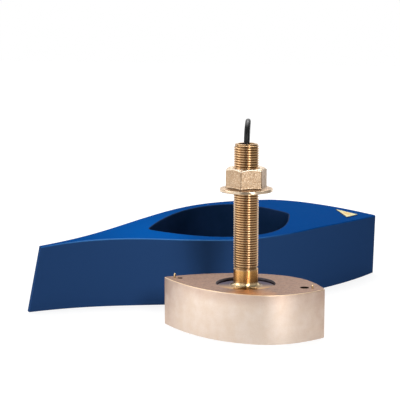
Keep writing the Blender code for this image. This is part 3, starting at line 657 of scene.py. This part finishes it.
class MakePlug(bpy.types.Operator):
    """Build the round marine connector on the cable's end"""

    bl_idname = "transducer.make_plug"
    bl_label = "Plug"

    def execute(self, context):
        sizes = context.scene.transducer_cable
        # Nickel plate on brass: slightly warm mirror with a fine satin
        nickel = surface("nickel_plated_brass", sizes.nickel, "BDB8AD", 9, 0.4, (0.2, 0.3), 1.0, 0.006)
        # Moulded chloroprene: dull black
        rubber = surface("moulded_chloroprene", "17181A", "101011", 12, 0.5, (0.55, 0.7))
        # Glass-filled nylon: dark grey, matt
        nylon = surface("moulded_nylon", "35373A", "2B2C2F", 8, 0.3, (0.45, 0.6))
        neck = sizes.diameter / MM / 2 + 1.6
        boot = [(0.0, 26.0), (7.2, 26.0), (7.7, 25.5), (7.7, 19.5), (7.3, 19.0)]
        for i in range(5):
            z = 17.6 - 3.4 * i
            r = neck + (7.0 - neck) * z / 19
            boot += [(r, z + 0.9), (r - 0.9, z + 0.5), (r - 0.9, z - 0.5), (r, z - 0.9)]
        boot += [(neck, 1.0), (neck - 0.5, 0.0), (0.0, 0.0)]
        body = [(0.0, 40.3), (5.3, 40.3), (5.3, 54.1), (5.5, 54.3), (6.2, 54.3), (6.4, 54.1), (6.4, 40.3)]
        body += [(8.2, 40.3), (8.5, 40.0), (8.5, 34.5), (8.1, 34.1), (8.1, 33.3), (8.5, 32.9), (8.5, 27.1)]
        body += [(7.7, 26.3), (0.0, 26.3)]
        collar = [(9.3, 54.3), (11.0, 54.3), (11.3, 54.0), (11.3, 53.0), (11.0, 52.7), (11.0, 42.0)]
        collar += [(11.3, 41.7), (11.3, 41.0), (10.7, 40.6), (6.7, 40.6), (6.7, 43.6), (9.3, 43.6)]
        face = [(0.0, 54.3), (4.7, 54.3), (5.0, 54.0), (5.0, 40.6), (0.0, 40.6)]
        finishes = (rubber, nickel, nickel, nylon)
        pieces = []
        for name, profile, finish in zip(PLUG, (boot, body, collar, face), finishes):
            pieces.append(new_object(name, turned(profile, 64), finish))
        ridges = {"Count": sizes.ridges, "Radius": 10.9 * MM, "Size": (1.0 * MM, 1.0 * MM, 9.5 * MM),
                  "Middle": 47.35 * MM, "Finish": nickel}
        grow(pieces[2], "grip_ridges", ridges, draw_ridges)
        for x, y in [(0.0, 0.0)] + arc((0.0, 0.0), 2.9, 0, 288, 4):
            combine(pieces[3], moved(rod(0.55, 48.0, 56.0, 16), at(x, y)))
        # The plug was turned about +Z and lies along the cable's tail
        seat = at(*lead_point(*PLUG_START), LEAD_YAW) @ Matrix.Rotation(radians(90), 4, "Y")
        for piece, (slot, node) in zip(pieces, PLUG.values()):
            settle(piece).data.transform(seat)
            present(piece, slot, node)
        return {"FINISHED"}


def build_housing_shape(sizes, cast, machined, lapped):
    """The housing's solid: rounded prism, machined recess, fillet, collar, thread core, bore and cavity."""
    core = STEM_RADIUS - sizes.depth / MM
    top = HOUSING_HEIGHT
    rings = [plan(0.0, -0.5), plan(0.15, -0.15), plan(0.5)]
    for inset, drop in rounding(sizes.edge / MM):
        rings.append(plan(top - drop, -inset, NOSE_RADIUS - inset, TAIL_RADIUS - inset))
    # The fixing holes: drilled and tapped, and coloured near black, a painted shade inside them
    bored = surface("oiled_bore", "2A211B", "15110E", 3, 0.5, (0.5, 0.6), 1.0)
    # The recess's wall: left as cut, dark grey and dull
    grey = surface("tarnished_bronze", "6C6870", "5A565E", 8, 0.6, (0.6, 0.7), 0.3)
    # Each cutter's finish has to be among the housing's own, or its faces take another one
    housing = new_object("bronze_housing", skin(rings), cast, machined, lapped, bored, grey)
    recess = [(0.0, top + 1), (RECESS_RADIUS + 1.35, top + 1), (RECESS_RADIUS, top - 0.35)]
    recess += [(RECESS_RADIUS, RECESS_Z + 0.3), (RECESS_RADIUS - 0.3, RECESS_Z), (0.0, RECESS_Z)]
    recess = turned(recess, 160)
    recess.normal_update()
    for face in recess.faces:
        face.material_index = int(abs(face.normal.z) < 0.9)
    foot = STEM_RADIUS + FOOT_FILLET
    stem = [(0.0, STEM_TOP_Z), (core - 0.5, STEM_TOP_Z), (core, STEM_TOP_Z - 0.5), (core, COLLAR_TOP_Z + 1.0)]
    stem += [(STEM_RADIUS - 0.3, COLLAR_TOP_Z), (STEM_RADIUS, COLLAR_TOP_Z - 0.3)]
    stem += arc((foot, RECESS_Z + FOOT_FILLET), FOOT_FILLET, 180, 270, 12)
    stem += [(foot, RECESS_Z - 3), (0.0, RECESS_Z - 3)]
    inner = [plan(z, -HOUSING_WALL, TAIL_RADIUS, TAIL_RADIUS, 24, 3) for z in (-1.0, TOP_PLATE_Z)]
    low = TOP_PLATE_Z - 2
    bore = [(0.0, STEM_TOP_Z + 1), (STEM_BORE_RADIUS + 1.5, STEM_TOP_Z + 1)]
    bore += [(STEM_BORE_RADIUS, STEM_TOP_Z - 0.5), (STEM_BORE_RADIUS, low), (0.0, low)]
    combine(housing, recess, lapped, grey)
    combine(housing, turned(stem, 128), machined, operation="UNION")
    combine(housing, skin(inner), cast)
    combine(housing, turned(bore, 96), machined)
    for x, radius in FIXING_HOLES:
        low = top - FIXING_HOLE_DEPTH
        hole = [(0.0, top + 1), (radius + FIXING_HOLE_CHAMFER, top + 1), (radius, top - 0.3)]
        hole += [(radius, low + 3), (0.0, low + 1)]
        combine(housing, moved(turned(hole, 48), at(x)), bored)
    return settle(housing, 30.0)


def bronze_materials(sizes):
    """The casting's blasted bronze, and the turned and the lapped bronze of its stem and recess."""
    # Silicon bronze, cast and bead blasted: a soft even sheen in a warm pinkish beige
    cast = surface("blasted_silicon_bronze", sizes.cast, "E6D2C0", 9, 1.2, (0.4, 0.58), 1.0, 0.12)
    add, place = reopen(cast)
    tree = cast.node_tree
    upright = add("SeparateXYZ", {"Vector": place["Normal"]}).outputs["Z"]
    place = place["Object"]
    # Brownish and mottled towards the side's upper edge and at both ends
    high = add("SeparateXYZ", {"Vector": place}).outputs["Z"]
    high = ramp(tree, high, 37 * MM, 49 * MM, high=0.8)
    out = add("VectorMath", {0: place}, operation="LENGTH")
    out = ramp(tree, out, 66 * MM, 96 * MM, high=0.9)
    high = add("Math", {0: high, 1: out}, operation="MAXIMUM")
    stains = add("TexNoise", {"Vector": place, "Scale": 1 / (13 * MM), "Detail": 4.0})
    stains = ramp(tree, stains, 0.3, 0.7, 0.4)
    over(cast, "C2A08C", high, 0.0, 1.0, stains)
    # The ground top is coloured darker and mottled, partly tarnish and partly painted shade, with a cloudy
    # orange patch near the front
    mottle = add("TexNoise", {"Vector": place, "Scale": 1 / (5 * MM), "Detail": 4.0})
    tarnish = blend(tree, sizes.top, "745A4C", mottle, 0.35, 0.65)
    patch = Vector((18, -46, HOUSING_HEIGHT)) * MM
    clouds = add("TexNoise", {"Vector": place, "Scale": 1 / (14 * MM), "Detail": 2.0})
    far = add("VectorMath", {0: place, 1: patch}, operation="DISTANCE")
    far = add("Math", {0: clouds, 1: 16 * MM, 2: far}, operation="MULTIPLY_ADD")
    tarnish = blend(tree, tarnish, "B98558", far, 36 * MM, 14 * MM)
    over(cast, tarnish, upright, 0.75, 0.98)
    # The rounded edge is coloured bright: a painted highlight
    level = ramp(tree, upright, 0.92, 0.8)
    over(cast, "FBE3BE", upright, 0.4, 0.6, level)
    # The same bronze, turned: golden, glossier, with fine rings from the tool
    machined = surface("turned_silicon_bronze", sizes.machined, "C9A273", 30, 0.35, (0.22, 0.3), 1.0,
                       0.008, (1, 1, 6), Anisotropic=0.8, Anisotropic_Rotation=0.25)
    add, place = reopen(machined)
    rings = add("Tangent", direction_type="RADIAL", axis="Z")
    machined.node_tree.links.new(rings.outputs[0], machined.node_tree.nodes["shader"].inputs["Tangent"])
    # The thread's root is coloured dark brown, partly tarnish and partly painted shade in its grooves
    radius = add("VectorMath", {0: place["Object"], 1: (1, 1, 0)}, operation="MULTIPLY")
    radius = add("VectorMath", {0: radius}, operation="LENGTH")
    height = add("SeparateXYZ", {"Vector": place["Object"]}).outputs["Z"]
    below_rim = add("Math", {0: height, 1: (STEM_TOP_Z - 0.7) * MM}, operation="LESS_THAN")
    over(machined, "6C5033", radius, (STEM_RADIUS - 0.4) * MM, (STEM_RADIUS - 1.3) * MM, below_rim)
    # The plain collar under it is more golden, the fillet at its foot coloured lighter as a painted
    # highlight, its rim darker
    over(machined, "DCA664", height, COLLAR_TOP_Z * MM, (COLLAR_TOP_Z - 2) * MM)
    over(machined, "F6DDB0", height, (HOUSING_HEIGHT + 4) * MM, HOUSING_HEIGHT * MM)
    over(machined, "96764C", height, HOUSING_HEIGHT * MM, (RECESS_Z + 0.3) * MM)
    # Lapped flat for the gasket: nearly a mirror, tarnished bluish, and more golden in front
    lapped = surface("lapped_silicon_bronze", sizes.lapped, "524A46", 18, 0.5, (0.04, 0.07), 1.0, 0.001)
    add, place = reopen(lapped)
    front = add("VectorMath", {0: place["Object"], 1: (0.3, -0.95, 0.0)}, operation="DOT_PRODUCT")
    over(lapped, "B08A5C", front, -5 * MM, 13 * MM)
    tint = blend(lapped.node_tree, (0.52, 0.5, 0.58), (1.0, 0.85, 0.7), front, -5 * MM, 13 * MM)
    lapped.node_tree.links.new(tint.outputs[2], lapped.node_tree.nodes["shader"].inputs["Specular Tint"])
    return cast, machined, lapped


class MakeHousing(bpy.types.Operator):
    """Build the bronze housing with its recess and stem, and the seal in the stem's bore"""

    bl_idname = "transducer.make_housing"
    bl_label = "Housing"

    def execute(self, context):
        sizes = context.scene.transducer_housing
        housing = build_housing_shape(sizes, *bronze_materials(sizes))
        present(housing, "blasted_bronze", "housing")
        # Potting resin, cast: glossy black, drawn up a little at the wall and the cable
        resin = surface("cast_epoxy", "141416", "0C0C0D", 10, 1.5, (0.15, 0.25))
        low = SEAL_TOP_Z - SEAL_LENGTH
        seal = [(0.0, SEAL_TOP_Z), (3.6, SEAL_TOP_Z), (4.6, SEAL_TOP_Z - 0.5), (6.6, SEAL_TOP_Z - 0.6)]
        seal += [(7.8, SEAL_TOP_Z - 0.1), (SEAL_RADIUS, SEAL_TOP_Z), (SEAL_RADIUS, low), (0.0, low)]
        present(settle(new_object("bore_potting", turned(seal, 64), resin)), "potting_urethane", "stem_seal")
        return {"FINISHED"}


def draw_thread(tree, given):
    """One ridge that follows a helix and thins out at both ends."""
    add = partial(add_node, tree)
    helix = add("GeometryNodeCurveSpiral", {
        "Resolution": given["Steps"], "Rotations": given["Turns"], "Start Radius": given["Root radius"],
        "End Radius": given["Root radius"], "Height": given["Length"]})
    lift = add("CombineXYZ", {"Z": given["Start"]})
    helix = add("GeometryNodeTransform", {"Geometry": helix, "Translation": lift})
    helix = add("GeometryNodeSetCurveNormal", {"Curve": helix}, mode="Z_UP")
    ridge = add("GeometryNodeCurvePrimitiveQuadrilateral", {
        "Bottom Width": given["Root width"], "Top Width": given["Crest width"],
        "Height": given["Height"], "Offset": 0.0}, mode="TRAPEZOID")
    turn = (0.0, 0.0, radians(90))
    ridge = add("GeometryNodeTransform", {"Geometry": ridge, "Rotation": turn})
    along = add("GeometryNodeSplineParameter")
    rise = ramp(tree, along, 0.0, 0.012)
    fall = ramp(tree, along, 1.0, 0.988)
    taper = add("Math", {0: rise, 1: fall}, operation="MINIMUM")
    taper = add("Math", {0: taper, 1: 0.05}, operation="MAXIMUM")
    return add("GeometryNodeCurveToMesh", {
        "Curve": helix, "Profile Curve": ridge, "Scale": taper, "Fill Caps": True})


class MakeThread(bpy.types.Operator):
    """Wind the stem's thread with Geometry Nodes"""

    bl_idname = "transducer.make_thread"
    bl_label = "Thread"

    def execute(self, context):
        sizes = context.scene.transducer_housing
        sunk = 0.1 * MM
        start = (COLLAR_TOP_Z + 0.6) * MM
        reach = (STEM_TOP_Z - 1.3) * MM - start
        values = {"Turns": reach / sizes.pitch, "Root radius": STEM_RADIUS * MM - sizes.depth / 2 - sunk / 2,
                  "Length": reach, "Start": start, "Root width": sizes.pitch * 0.96,
                  "Crest width": sizes.pitch * 0.36, "Height": sizes.depth + sunk, "Steps": 48,
                  "Finish": bpy.data.materials["turned_silicon_bronze"]}
        thread = new_object("stem_thread", bmesh.new())
        grow(thread, "helical_thread", values, draw_thread)
        present(settle(thread, 25.0), "blasted_bronze")
        return {"FINISHED"}


def nut_outline(half_flats, corner_radius):
    """Directions and radii round a hexagon with rounded corners, counter-clockwise."""
    points = []
    corner = (half_flats - corner_radius) / cos(pi / 6)
    for i in range(6):
        middle = tau * i / 6
        centre = (corner * cos(middle), corner * sin(middle))
        points += arc(centre, corner_radius, 60 * i - 30, 60 * i + 30, 8)
        start = Vector(points[-1])
        angle = radians(60 * i + 60)
        centre = Vector((corner * cos(angle), corner * sin(angle)))
        away = radians(60 * i + 30)
        end = centre + corner_radius * Vector((cos(away), sin(away)))
        points += [tuple(start.lerp(end, k / 8)) for k in range(1, 8)]
    return points


def nut_rings(half, reach):
    """The nut's rings from its bore over the hexagon to its flange, each with how light its edge is coloured,
    partly rubbed and partly a painted highlight.
    """
    outline = [Vector(point) for point in nut_outline(half, NUT_CORNER_RADIUS)]
    flange_top = NUT_UNDERSIDE_Z + NUT_FLANGE_RIM
    foot = flange_top + NUT_FLANGE_RISE
    top = foot + NUT_HEX_HEIGHT
    rim = NUT_EDGE_RADIUS
    slope = tan(radians(30))
    rings = []

    def ring(place, worn=0.0):
        """Add a ring, whose place() gives radius and height where the hexagon has a certain radius."""
        points = []
        for spot in outline:
            radius, z = place(spot.length)
            points.append((*(spot.normalized() * radius), z))
        rings.append((points, worn))

    def cone(r):
        """Height of the chamfer on the hexagon's corners."""
        return top - max(0.0, r - half + 0.5) * slope

    def flange_z(r):
        """Height of the flange's upper face."""
        return foot - (r - half) / (reach - rim - half) * NUT_FLANGE_RISE

    ring(lambda r: (NUT_BORE_RADIUS, NUT_UNDERSIDE_Z + NUT_BORE_CHAMFER))
    ring(lambda r: (NUT_BORE_RADIUS, top - NUT_BORE_CHAMFER))
    ring(lambda r: (NUT_BORE_RADIUS + NUT_BORE_CHAMFER, top), 0.7)
    ring(lambda r: (half - 0.9, top))
    ring(lambda r: (half - 0.5, top), 0.5)
    ring(lambda r: (max(half - 0.45, r - 0.6), cone(r - 0.6)))
    ring(lambda r: (r - 0.12, cone(r) - 0.04), 1.0)
    ring(lambda r: (r, cone(r) - 0.2), 1.0)
    ring(lambda r: (r, cone(r) - 0.9))
    for out, lift in ((0.0, 1.6), (0.25, 0.7), (0.8, 0.15), (1.6, 0.0)):
        ring(lambda r, out=out, lift=lift: (r + out, flange_z(r + out) + lift))
    low = NUT_UNDERSIDE_Z + rim
    corners = arc((reach - rim, flange_top - rim), rim, 90, 0, 4) + arc((reach - rim, low), rim, 0, -90, 4)
    for corner in corners:
        ring(lambda r, corner=corner: corner)
    ring(lambda r: (NUT_BORE_RADIUS + NUT_BORE_CHAMFER, NUT_UNDERSIDE_Z))
    return rings


class MakeNut(bpy.types.Operator):
    """Build the flanged hull nut with its chamfered hexagon"""

    bl_idname = "transducer.make_nut"
    bl_label = "Hull nut"

    def execute(self, context):
        sizes = context.scene.transducer_nut
        # Cast bronze, bead blasted: greyer and coarser than the housing, with paler specks, and lighter
        # along its edges: partly rubbed bright, partly a painted highlight
        bronze = surface("blasted_cast_bronze", sizes.bronze, "957B60", 9, 1.3, (0.34, 0.5), 1.0, 0.16)
        add, place = reopen(bronze)
        specks = add("TexNoise", {"Vector": place["Object"], "Scale": 1 / (0.9 * MM), "Detail": 1.0})
        over(bronze, "DCC9B2", specks, 0.48, 0.66, 0.5)
        rubbed = add("Attribute", attribute_name="rubbed").outputs["Fac"]
        over(bronze, sizes.edge, rubbed, 0.0, 1.0)
        # The flange's rim is turned: smoother than the casting, and brighter, partly its own finish and
        # partly a painted highlight
        rim = surface("turned_cast_bronze", "DFCAB0", "CCB498", 12, 0.4, (0.14, 0.22), 1.0, 0.01)
        reach = sizes.flange / MM
        rings = nut_rings(sizes.flats / MM / 2, reach)
        shape = skin([points for points, _ in rings], closed=True)
        mark(shape, "rubbed", [worn for _, worn in rings])
        for face in shape.faces:
            out = face.calc_center_median().xy.length
            face.material_index = int(out > reach - NUT_EDGE_RADIUS * 0.9)
        moved(shape, at(0.0, turn=NUT_TURN))
        present(settle(new_object("flanged_nut", shape, bronze, rim), 50.0), "nut_bronze", "hull_nut")
        return {"FINISHED"}


class MakePins(bpy.types.Operator):
    """Set the two locating pins in the housing's top"""

    bl_idname = "transducer.make_pins"
    bl_label = "Pins"

    def execute(self, context):
        # Brass rod, turned and polished: small, smooth and bright yellow
        brass = surface("turned_brass", "F0D6A4", "DCBE88", 2, 0.2, (0.15, 0.25), 1.0, 0.004)
        for node, x, height in PINS:
            top = HOUSING_HEIGHT + height
            profile = [(0.0, top)] + arc((0.0, top - PIN_RADIUS), PIN_RADIUS, 90, 0, 8)[1:]
            shape = turned(profile + [(PIN_RADIUS, HOUSING_HEIGHT - 5), (0.0, HOUSING_HEIGHT - 5)], 32)
            piece = new_object(f"{node}_turned", moved(shape, at(x)), brass)
            present(settle(piece), "pin_brass", node)
        return {"FINISHED"}


def block_half_breadth(x):
    """Half-breadth of the fairing block: a full bow and a hollowed, finely drawn tail."""
    if x >= BLOCK_WIDEST_X:
        share = (x - BLOCK_WIDEST_X) / (BLOCK_NOSE_X - BLOCK_WIDEST_X)
        return BLOCK_NOSE_HALF + (BLOCK_HALF_BEAM - BLOCK_NOSE_HALF) * (1.0 - share**BLOCK_NOSE_POWER)
    share = min((BLOCK_WIDEST_X - x) / (BLOCK_WIDEST_X - BLOCK_TAIL_X), 1.0)
    fullness = ((1.0 + cos(pi * share)) / 2) ** BLOCK_TAIL_POWER
    return BLOCK_TAIL_HALF + (BLOCK_HALF_BEAM - BLOCK_TAIL_HALF) * fullness


def water_face_z(x, y):
    """Height of the block's water face: tilted by the deadrise, and falling away towards each end."""
    across, along = (tan(radians(tilt)) for tilt in WATER_FACE_TILT)
    z = BLOCK_HEIGHT + across * y + along * x
    if x < TAIL_FALL_START_X:
        fall, power = TAIL_FALL
        z -= fall * ((TAIL_FALL_START_X - x) / (TAIL_FALL_START_X - BLOCK_TAIL_X)) ** power
    if x > NOSE_FALL_START_X:
        fall, power = NOSE_FALL
        z -= fall * ((x - NOSE_FALL_START_X) / (BLOCK_NOSE_X - NOSE_FALL_START_X)) ** power
    return z


def water_face_frame(x, z_place):
    """Matrix in millimetres whose Z is the water face's normal on the axis at x."""
    step = 0.5
    along = Vector((2 * step, 0.0, water_face_z(x + step, 0) - water_face_z(x - step, 0))).normalized()
    across = Vector((0.0, 2 * step, water_face_z(x, step) - water_face_z(x, -step))).normalized()
    normal = along.cross(across).normalized()
    across = normal.cross(along)
    made = Matrix((along, across, normal)).transposed().to_4x4()
    made.translation = (x, 0.0, z_place)
    return made


def build_block_shape(edge):
    """The block before its pocket is cut: stations along it, each with a rounded upper edge."""
    bounds = (BLOCK_TAIL_X, TAIL_FALL_START_X, NOSE_FALL_START_X, BLOCK_NOSE_X)
    stations = []
    for start, end in zip(bounds, bounds[1:]):
        stations.extend(start + (end - start) * i / 40 for i in range(40))
    stations.append(BLOCK_NOSE_X)
    rows = []
    for x in stations:
        half = block_half_breadth(x)
        share = (x - BLOCK_TAIL_X) / (BLOCK_NOSE_X - BLOCK_TAIL_X)
        top_x = x + BLOCK_TAIL_RAKE * (1.0 - share) + BLOCK_NOSE_RAKE * share
        radius = min(edge, half * 0.6)
        row = []
        for sign in (-1, 1):
            side = [(x, sign * half, 0.0)]
            for inset, drop in rounding(radius):
                y = sign * (half - inset)
                side.append((top_x, y, water_face_z(top_x, y) - drop))
            row += side[::-sign]
        rows.append(row)
    return skin(rows)


def urethane_materials(sizes):
    """The block's blue, and the rougher inside of its pocket."""
    # Cast urethane, moulded: deep even blue with a faint orange peel; its sides are coloured greyer as
    # painted shade and sheen
    blue = surface("moulded_urethane", sizes.urethane, "06448A", 70, 1.2, (0.5, 0.6), relief=0.02,
                   Specular_IOR_Level=0.003)
    # The same urethane in the pocket: rough and dull, and coloured dark as painted shade
    inside = surface("rough_urethane", sizes.pocket, "122E50", 40, 1.5, (0.65, 0.75), relief=0.05,
                     Specular_IOR_Level=0.06)
    add, place = reopen(blue)
    upright = add("SeparateXYZ", {"Vector": place["Normal"]}).outputs["Z"]
    # The sides' greyer colour is painted shade and sheen
    over(blue, sizes.side, upright, 0.6, 0.2)
    # The water face is painted paler towards its tail, a painted pool of light, and palest along the rounded
    # edge there, a painted highlight
    tail = at(*BLOCK_PLACE) @ Vector((TAIL_FALL_START_X, -20.0, BLOCK_HEIGHT)) * MM
    near = add("VectorMath", {0: place["Object"], 1: tail}, operation="DISTANCE")
    level = ramp(blue.node_tree, upright, 0.9, 0.96)
    over(blue, "0056A8", near, 110 * MM, 20 * MM, level)
    rounded = add("Math", {0: upright, 1: 0.65, 2: 0.3}, operation="COMPARE")
    over(blue, "4A86CC", near, 170 * MM, 60 * MM, rounded)
    return blue, inside


class MakeBlock(bpy.types.Operator):
    """Build the blue fairing block with its pocket, and the arrow label on its nose"""

    bl_idname = "transducer.make_block"
    bl_label = "Fairing block"

    def execute(self, context):
        sizes = context.scene.transducer_block
        blue, inside = urethane_materials(sizes)
        shape = moved(build_block_shape(sizes.edge / MM), at(*BLOCK_PLACE))
        block = new_object("blue_block", shape, blue, inside)
        seat = at(*BLOCK_PLACE) @ water_face_frame(0.0, BLOCK_HEIGHT)
        # Height and outward offset of each ring of the pocket, whose upper edge is rounded
        rim = sizes.rim / MM
        floor = -POCKET_DEPTH
        levels = [(floor, -1.0), (floor + 0.3, -0.3), (floor + 1.0, 0.0), (-rim, 0.0)]
        levels += [(-drop, outset) for outset, drop in rounding(rim)[1:]]
        levels.append((20.0, rim + 0.01))
        rings = []
        for z, extra in levels:
            offset = POCKET_CLEARANCE + extra
            rings.append(plan(z, offset, NOSE_RADIUS + offset, POCKET_TAIL_RADIUS + extra, 64, 10))
        combine(block, moved(skin(rings), seat), inside)
        combine(block, moved(rod(STEM_HOLE_RADIUS, floor - BLOCK_HEIGHT, floor + 1), seat), inside)
        for _, x, height in PINS:
            socket = rod(PIN_SOCKET_RADIUS, floor - height - 1, floor + 1, 24)
            combine(block, moved(socket, seat @ at(x)), inside)
        present(settle(block), "blue_urethane", "fairing_block")
        build_label(sizes)
        return {"FINISHED"}


def label_outline(inset, radius):
    """The label's triangle with its sides moved in and its corners rounded."""
    long, wide, _ = LABEL_SIZE
    corners = [Vector((long / 2, 0.0)), Vector((-long / 2, wide / 2)), Vector((-long / 2, -wide / 2))]
    points = []
    for i, corner in enumerate(corners):
        before = (corners[i - 1] - corner).normalized()
        after = (corners[(i + 1) % 3] - corner).normalized()
        half_angle = before.angle(after) / 2
        inwards = (before + after).normalized()
        centre = corner + inwards * (inset + radius) / sin(half_angle)
        middle = degrees(atan2(-inwards.y, -inwards.x))
        sweep = 90 - degrees(half_angle)
        points += arc(centre, radius, middle - sweep, middle + sweep, 6)
    return points


def build_label(sizes):
    """Plain arrow label: a triangle with rounded corners, its border printed darker."""
    x, y, turn = LABEL_PLACE
    seat = at(*BLOCK_PLACE) @ water_face_frame(x, water_face_z(x, 0.0))
    seat = seat @ at(0.0, y, 0.0, turn)
    # Printed vinyl: satin, pale yellow, warmer in the middle
    vinyl = surface("printed_vinyl", sizes.label, "E4DCA2", 6, 0.5, (0.35, 0.45), relief=0.004)
    add, place = reopen(vinyl)
    centre = seat @ Vector((-4.0, 0.0, 0.0)) * MM
    near = add("VectorMath", {0: place["Object"], 1: centre}, operation="DISTANCE")
    over(vinyl, "F0BE58", near, 9 * MM, 2 * MM, 0.9)
    border = add("Attribute", attribute_name="border").outputs["Fac"]
    over(vinyl, sizes.border, border, 0.0, 1.0)
    # Each ring's inset and height; the last one bounds the field inside the border
    top = LABEL_GAP + LABEL_SIZE[2]
    levels = ((0.0, LABEL_GAP - 0.25), (0.0, top - 0.1), (0.1, top), (0.9, top), (1.25, top))
    rings = []
    for inset, z in levels:
        rings.append([(x, y, z) for x, y in label_outline(inset, max(0.3, 1.2 - inset))])
    shape = skin(rings)
    mark(shape, "border", [1.0, 1.0, 1.0, 1.0, 0.0])
    present(settle(new_object("arrow_label", moved(shape, seat), vinyl)), "yellow_label", "bow_label")


class DressInside(bpy.types.Operator):
    """Give the parts inside the housing their materials"""

    bl_idname = "transducer.dress_inside"
    bl_label = "Inside"

    def execute(self, context):
        # Cast urethane window: satin black
        window = surface("cast_urethane_window", "26272A", "1D1E20", 25, 0.6, (0.4, 0.52))
        # Potting urethane: softer and duller
        potting = surface("potted_urethane", "3A3B3D", "2E2F31", 15, 0.8, (0.5, 0.65))
        # Glass epoxy board under solder mask: even, half glossy green
        board = surface("glass_epoxy_board", "2E6B45", "245A39", 3, 0.4, (0.3, 0.4))
        # Lead zirconate titanate, sintered: matt cream
        ceramic = surface("sintered_ceramic", "DDD5BE", "CFC5AB", 4, 0.3, (0.5, 0.65))
        # Cork sheet: dull brown granules, about 2 mm across
        cork = surface("granulated_cork", "A9825A", "7E5C3C", 2, 1.0, (0.8, 0.95), relief=0.2)
        brass = bpy.data.materials["turned_brass"]
        jacket = bpy.data.materials["extruded_urethane_jacket"]
        dress = {"acoustic_window": window, "potting": potting, "terminal_board": board,
                 "temperature_sensor": brass, "stem_lead": jacket}
        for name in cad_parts:
            if name.endswith("_element"):
                dress[name] = ceramic
            if name.endswith("_isolation_cup"):
                dress[name] = cork
        for name, finish in dress.items():
            mesh = bpy.data.objects[name].data
            mesh.materials.clear()
            mesh.materials.append(finish)
        return {"FINISHED"}


def lay_floor(colour_seen):
    """A floor that is white to the camera and takes the object's shadow."""
    # Painted floor: fully white away from the object, so no horizon shows, and a little darker near
    # it; metal finds the room's picture on it
    made = bpy.data.materials.new("painted_studio_floor")
    tree, add = emptied(made)
    path = add("LightPath").outputs
    seen = add("Math", {0: path["Is Camera Ray"], 1: path["Is Glossy Ray"]}, operation="ADD")
    seen = add("Math", {0: seen, 1: path["Is Transmission Ray"]}, operation="ADD", use_clamp=True)
    place = add("TexCoord").outputs["Object"]
    away = add("VectorMath", {0: place}, operation="LENGTH")
    white = ramp(tree, away, 0.3, 1.1, 0.84)
    reached = ramp(tree, away, *ROOM_BEGINS)
    mirrored = add("Mix", {0: reached, 2: ROOM_NEAR, 3: room(tree, place)})
    strength = add("Mix", {0: path["Is Glossy Ray"], 2: white, 3: mirrored})
    glow = add("Emission", {"Color": (1, 1, 1), "Strength": strength})
    paint = add("BsdfDiffuse", {"Color": colour_seen})
    lit = add("AddShader", {0: paint, 1: glow})
    both = add("MixShader", {0: seen, 1: paint, 2: lit})
    add("OutputMaterial", {"Surface": both})
    shape = bmesh.new()
    bmesh.ops.create_grid(shape, x_segments=1, y_segments=1, size=6000)
    new_object("floor", shape, made)


def light_world(scene, strength):
    """Even light from all round, the room's picture for metal, and plain white for the camera."""
    scene.world = bpy.data.worlds.new("studio")
    tree, add = emptied(scene.world)
    path = add("LightPath").outputs
    around = add("TexCoord").outputs["Generated"]
    height = add("SeparateXYZ", {"Vector": around}).outputs["Z"]
    # The room is dimmer overhead
    overhead = ramp(tree, height, 0.2, 0.8, 1.0, 0.4)
    mirrored = add("Math", {0: room(tree, around), 1: overhead}, operation="MULTIPLY")
    even, shown, white = (add("Background", {"Color": (1, 1, 1), "Strength": value})
                          for value in (strength, mirrored, 1.0))
    glossy = add("Math", {
        0: path["Is Glossy Ray"], 1: path["Is Transmission Ray"]}, operation="ADD", use_clamp=True)
    mixed = add("MixShader", {0: glossy, 1: even, 2: shown})
    mixed = add("MixShader", {0: path["Is Camera Ray"], 1: mixed, 2: white})
    add("OutputWorld", {"Surface": mixed})


class MakeStage(bpy.types.Operator):
    """Set up the camera, the pale floor and the soft studio light"""

    bl_idname = "transducer.make_stage"
    bl_label = "Stage"

    def execute(self, context):
        scene = context.scene
        data = bpy.data.cameras.new("camera")
        data.lens = LENS
        data.sensor_width = 36.0
        data.clip_end = 20.0
        camera = linked("camera", data)
        camera.location = Vector(CAMERA_PLACE) * MM
        turn, pitch = CAMERA_AIM
        camera.rotation_euler = (radians(90 - pitch), 0.0, radians(turn))
        scene.camera = camera
        scene.view_settings.view_transform = "Standard"
        lay_floor(scene.transducer_stage.floor)
        light_world(scene, scene.transducer_stage.world)
        for name, place, width, height, power in LAMPS:
            data = bpy.data.lights.new(name, "AREA")
            data.shape = "RECTANGLE"
            data.size = width
            data.size_y = height
            data.energy = power
            lamp = linked(name, data)
            lamp.location = place
            aim = Vector(LAMP_AIM) - Vector(place)
            lamp.rotation_euler = aim.to_track_quat("-Z", "Y").to_euler()
        return {"FINISHED"}


class TransducerPanel(bpy.types.Panel):
    """Lists the steps that build the transducer, with their settings"""

    bl_idname = "VIEW3D_PT_transducer"
    bl_label = "Sonar transducer"
    bl_space_type = "VIEW_3D"
    bl_region_type = "UI"
    bl_category = "Transducer"

    def draw(self, context):
        for step in STEPS:
            self.layout.operator(step.bl_idname, text=step.bl_label)
        for name in GROUPS:
            box = self.layout.box()
            group = getattr(context.scene, name)
            for key in type(group).__annotations__:
                box.prop(group, key)


STEPS = (MakeStage, MakePlug, MakeCable, MakeHousing, MakeThread, MakeNut, MakePins, MakeBlock, DressInside)
GROUPS = {
    "transducer_housing": HousingSettings,
    "transducer_nut": NutSettings,
    "transducer_block": BlockSettings,
    "transducer_cable": CableSettings,
    "transducer_stage": StageSettings,
}


def register():
    for name, group in GROUPS.items():
        bpy.utils.register_class(group)
        setattr(bpy.types.Scene, name, PointerProperty(type=group))
    for step in STEPS:
        bpy.utils.register_class(step)
    bpy.utils.register_class(TransducerPanel)


def unregister():
    bpy.utils.unregister_class(TransducerPanel)
    for step in reversed(STEPS):
        bpy.utils.unregister_class(step)
    for name, group in GROUPS.items():
        delattr(bpy.types.Scene, name)
        bpy.utils.unregister_class(group)


def main():
    register()
    for step in STEPS:
        group, name = step.bl_idname.split(".")
        getattr(getattr(bpy.ops, group), name)()


if __name__ == "__main__":
    main()
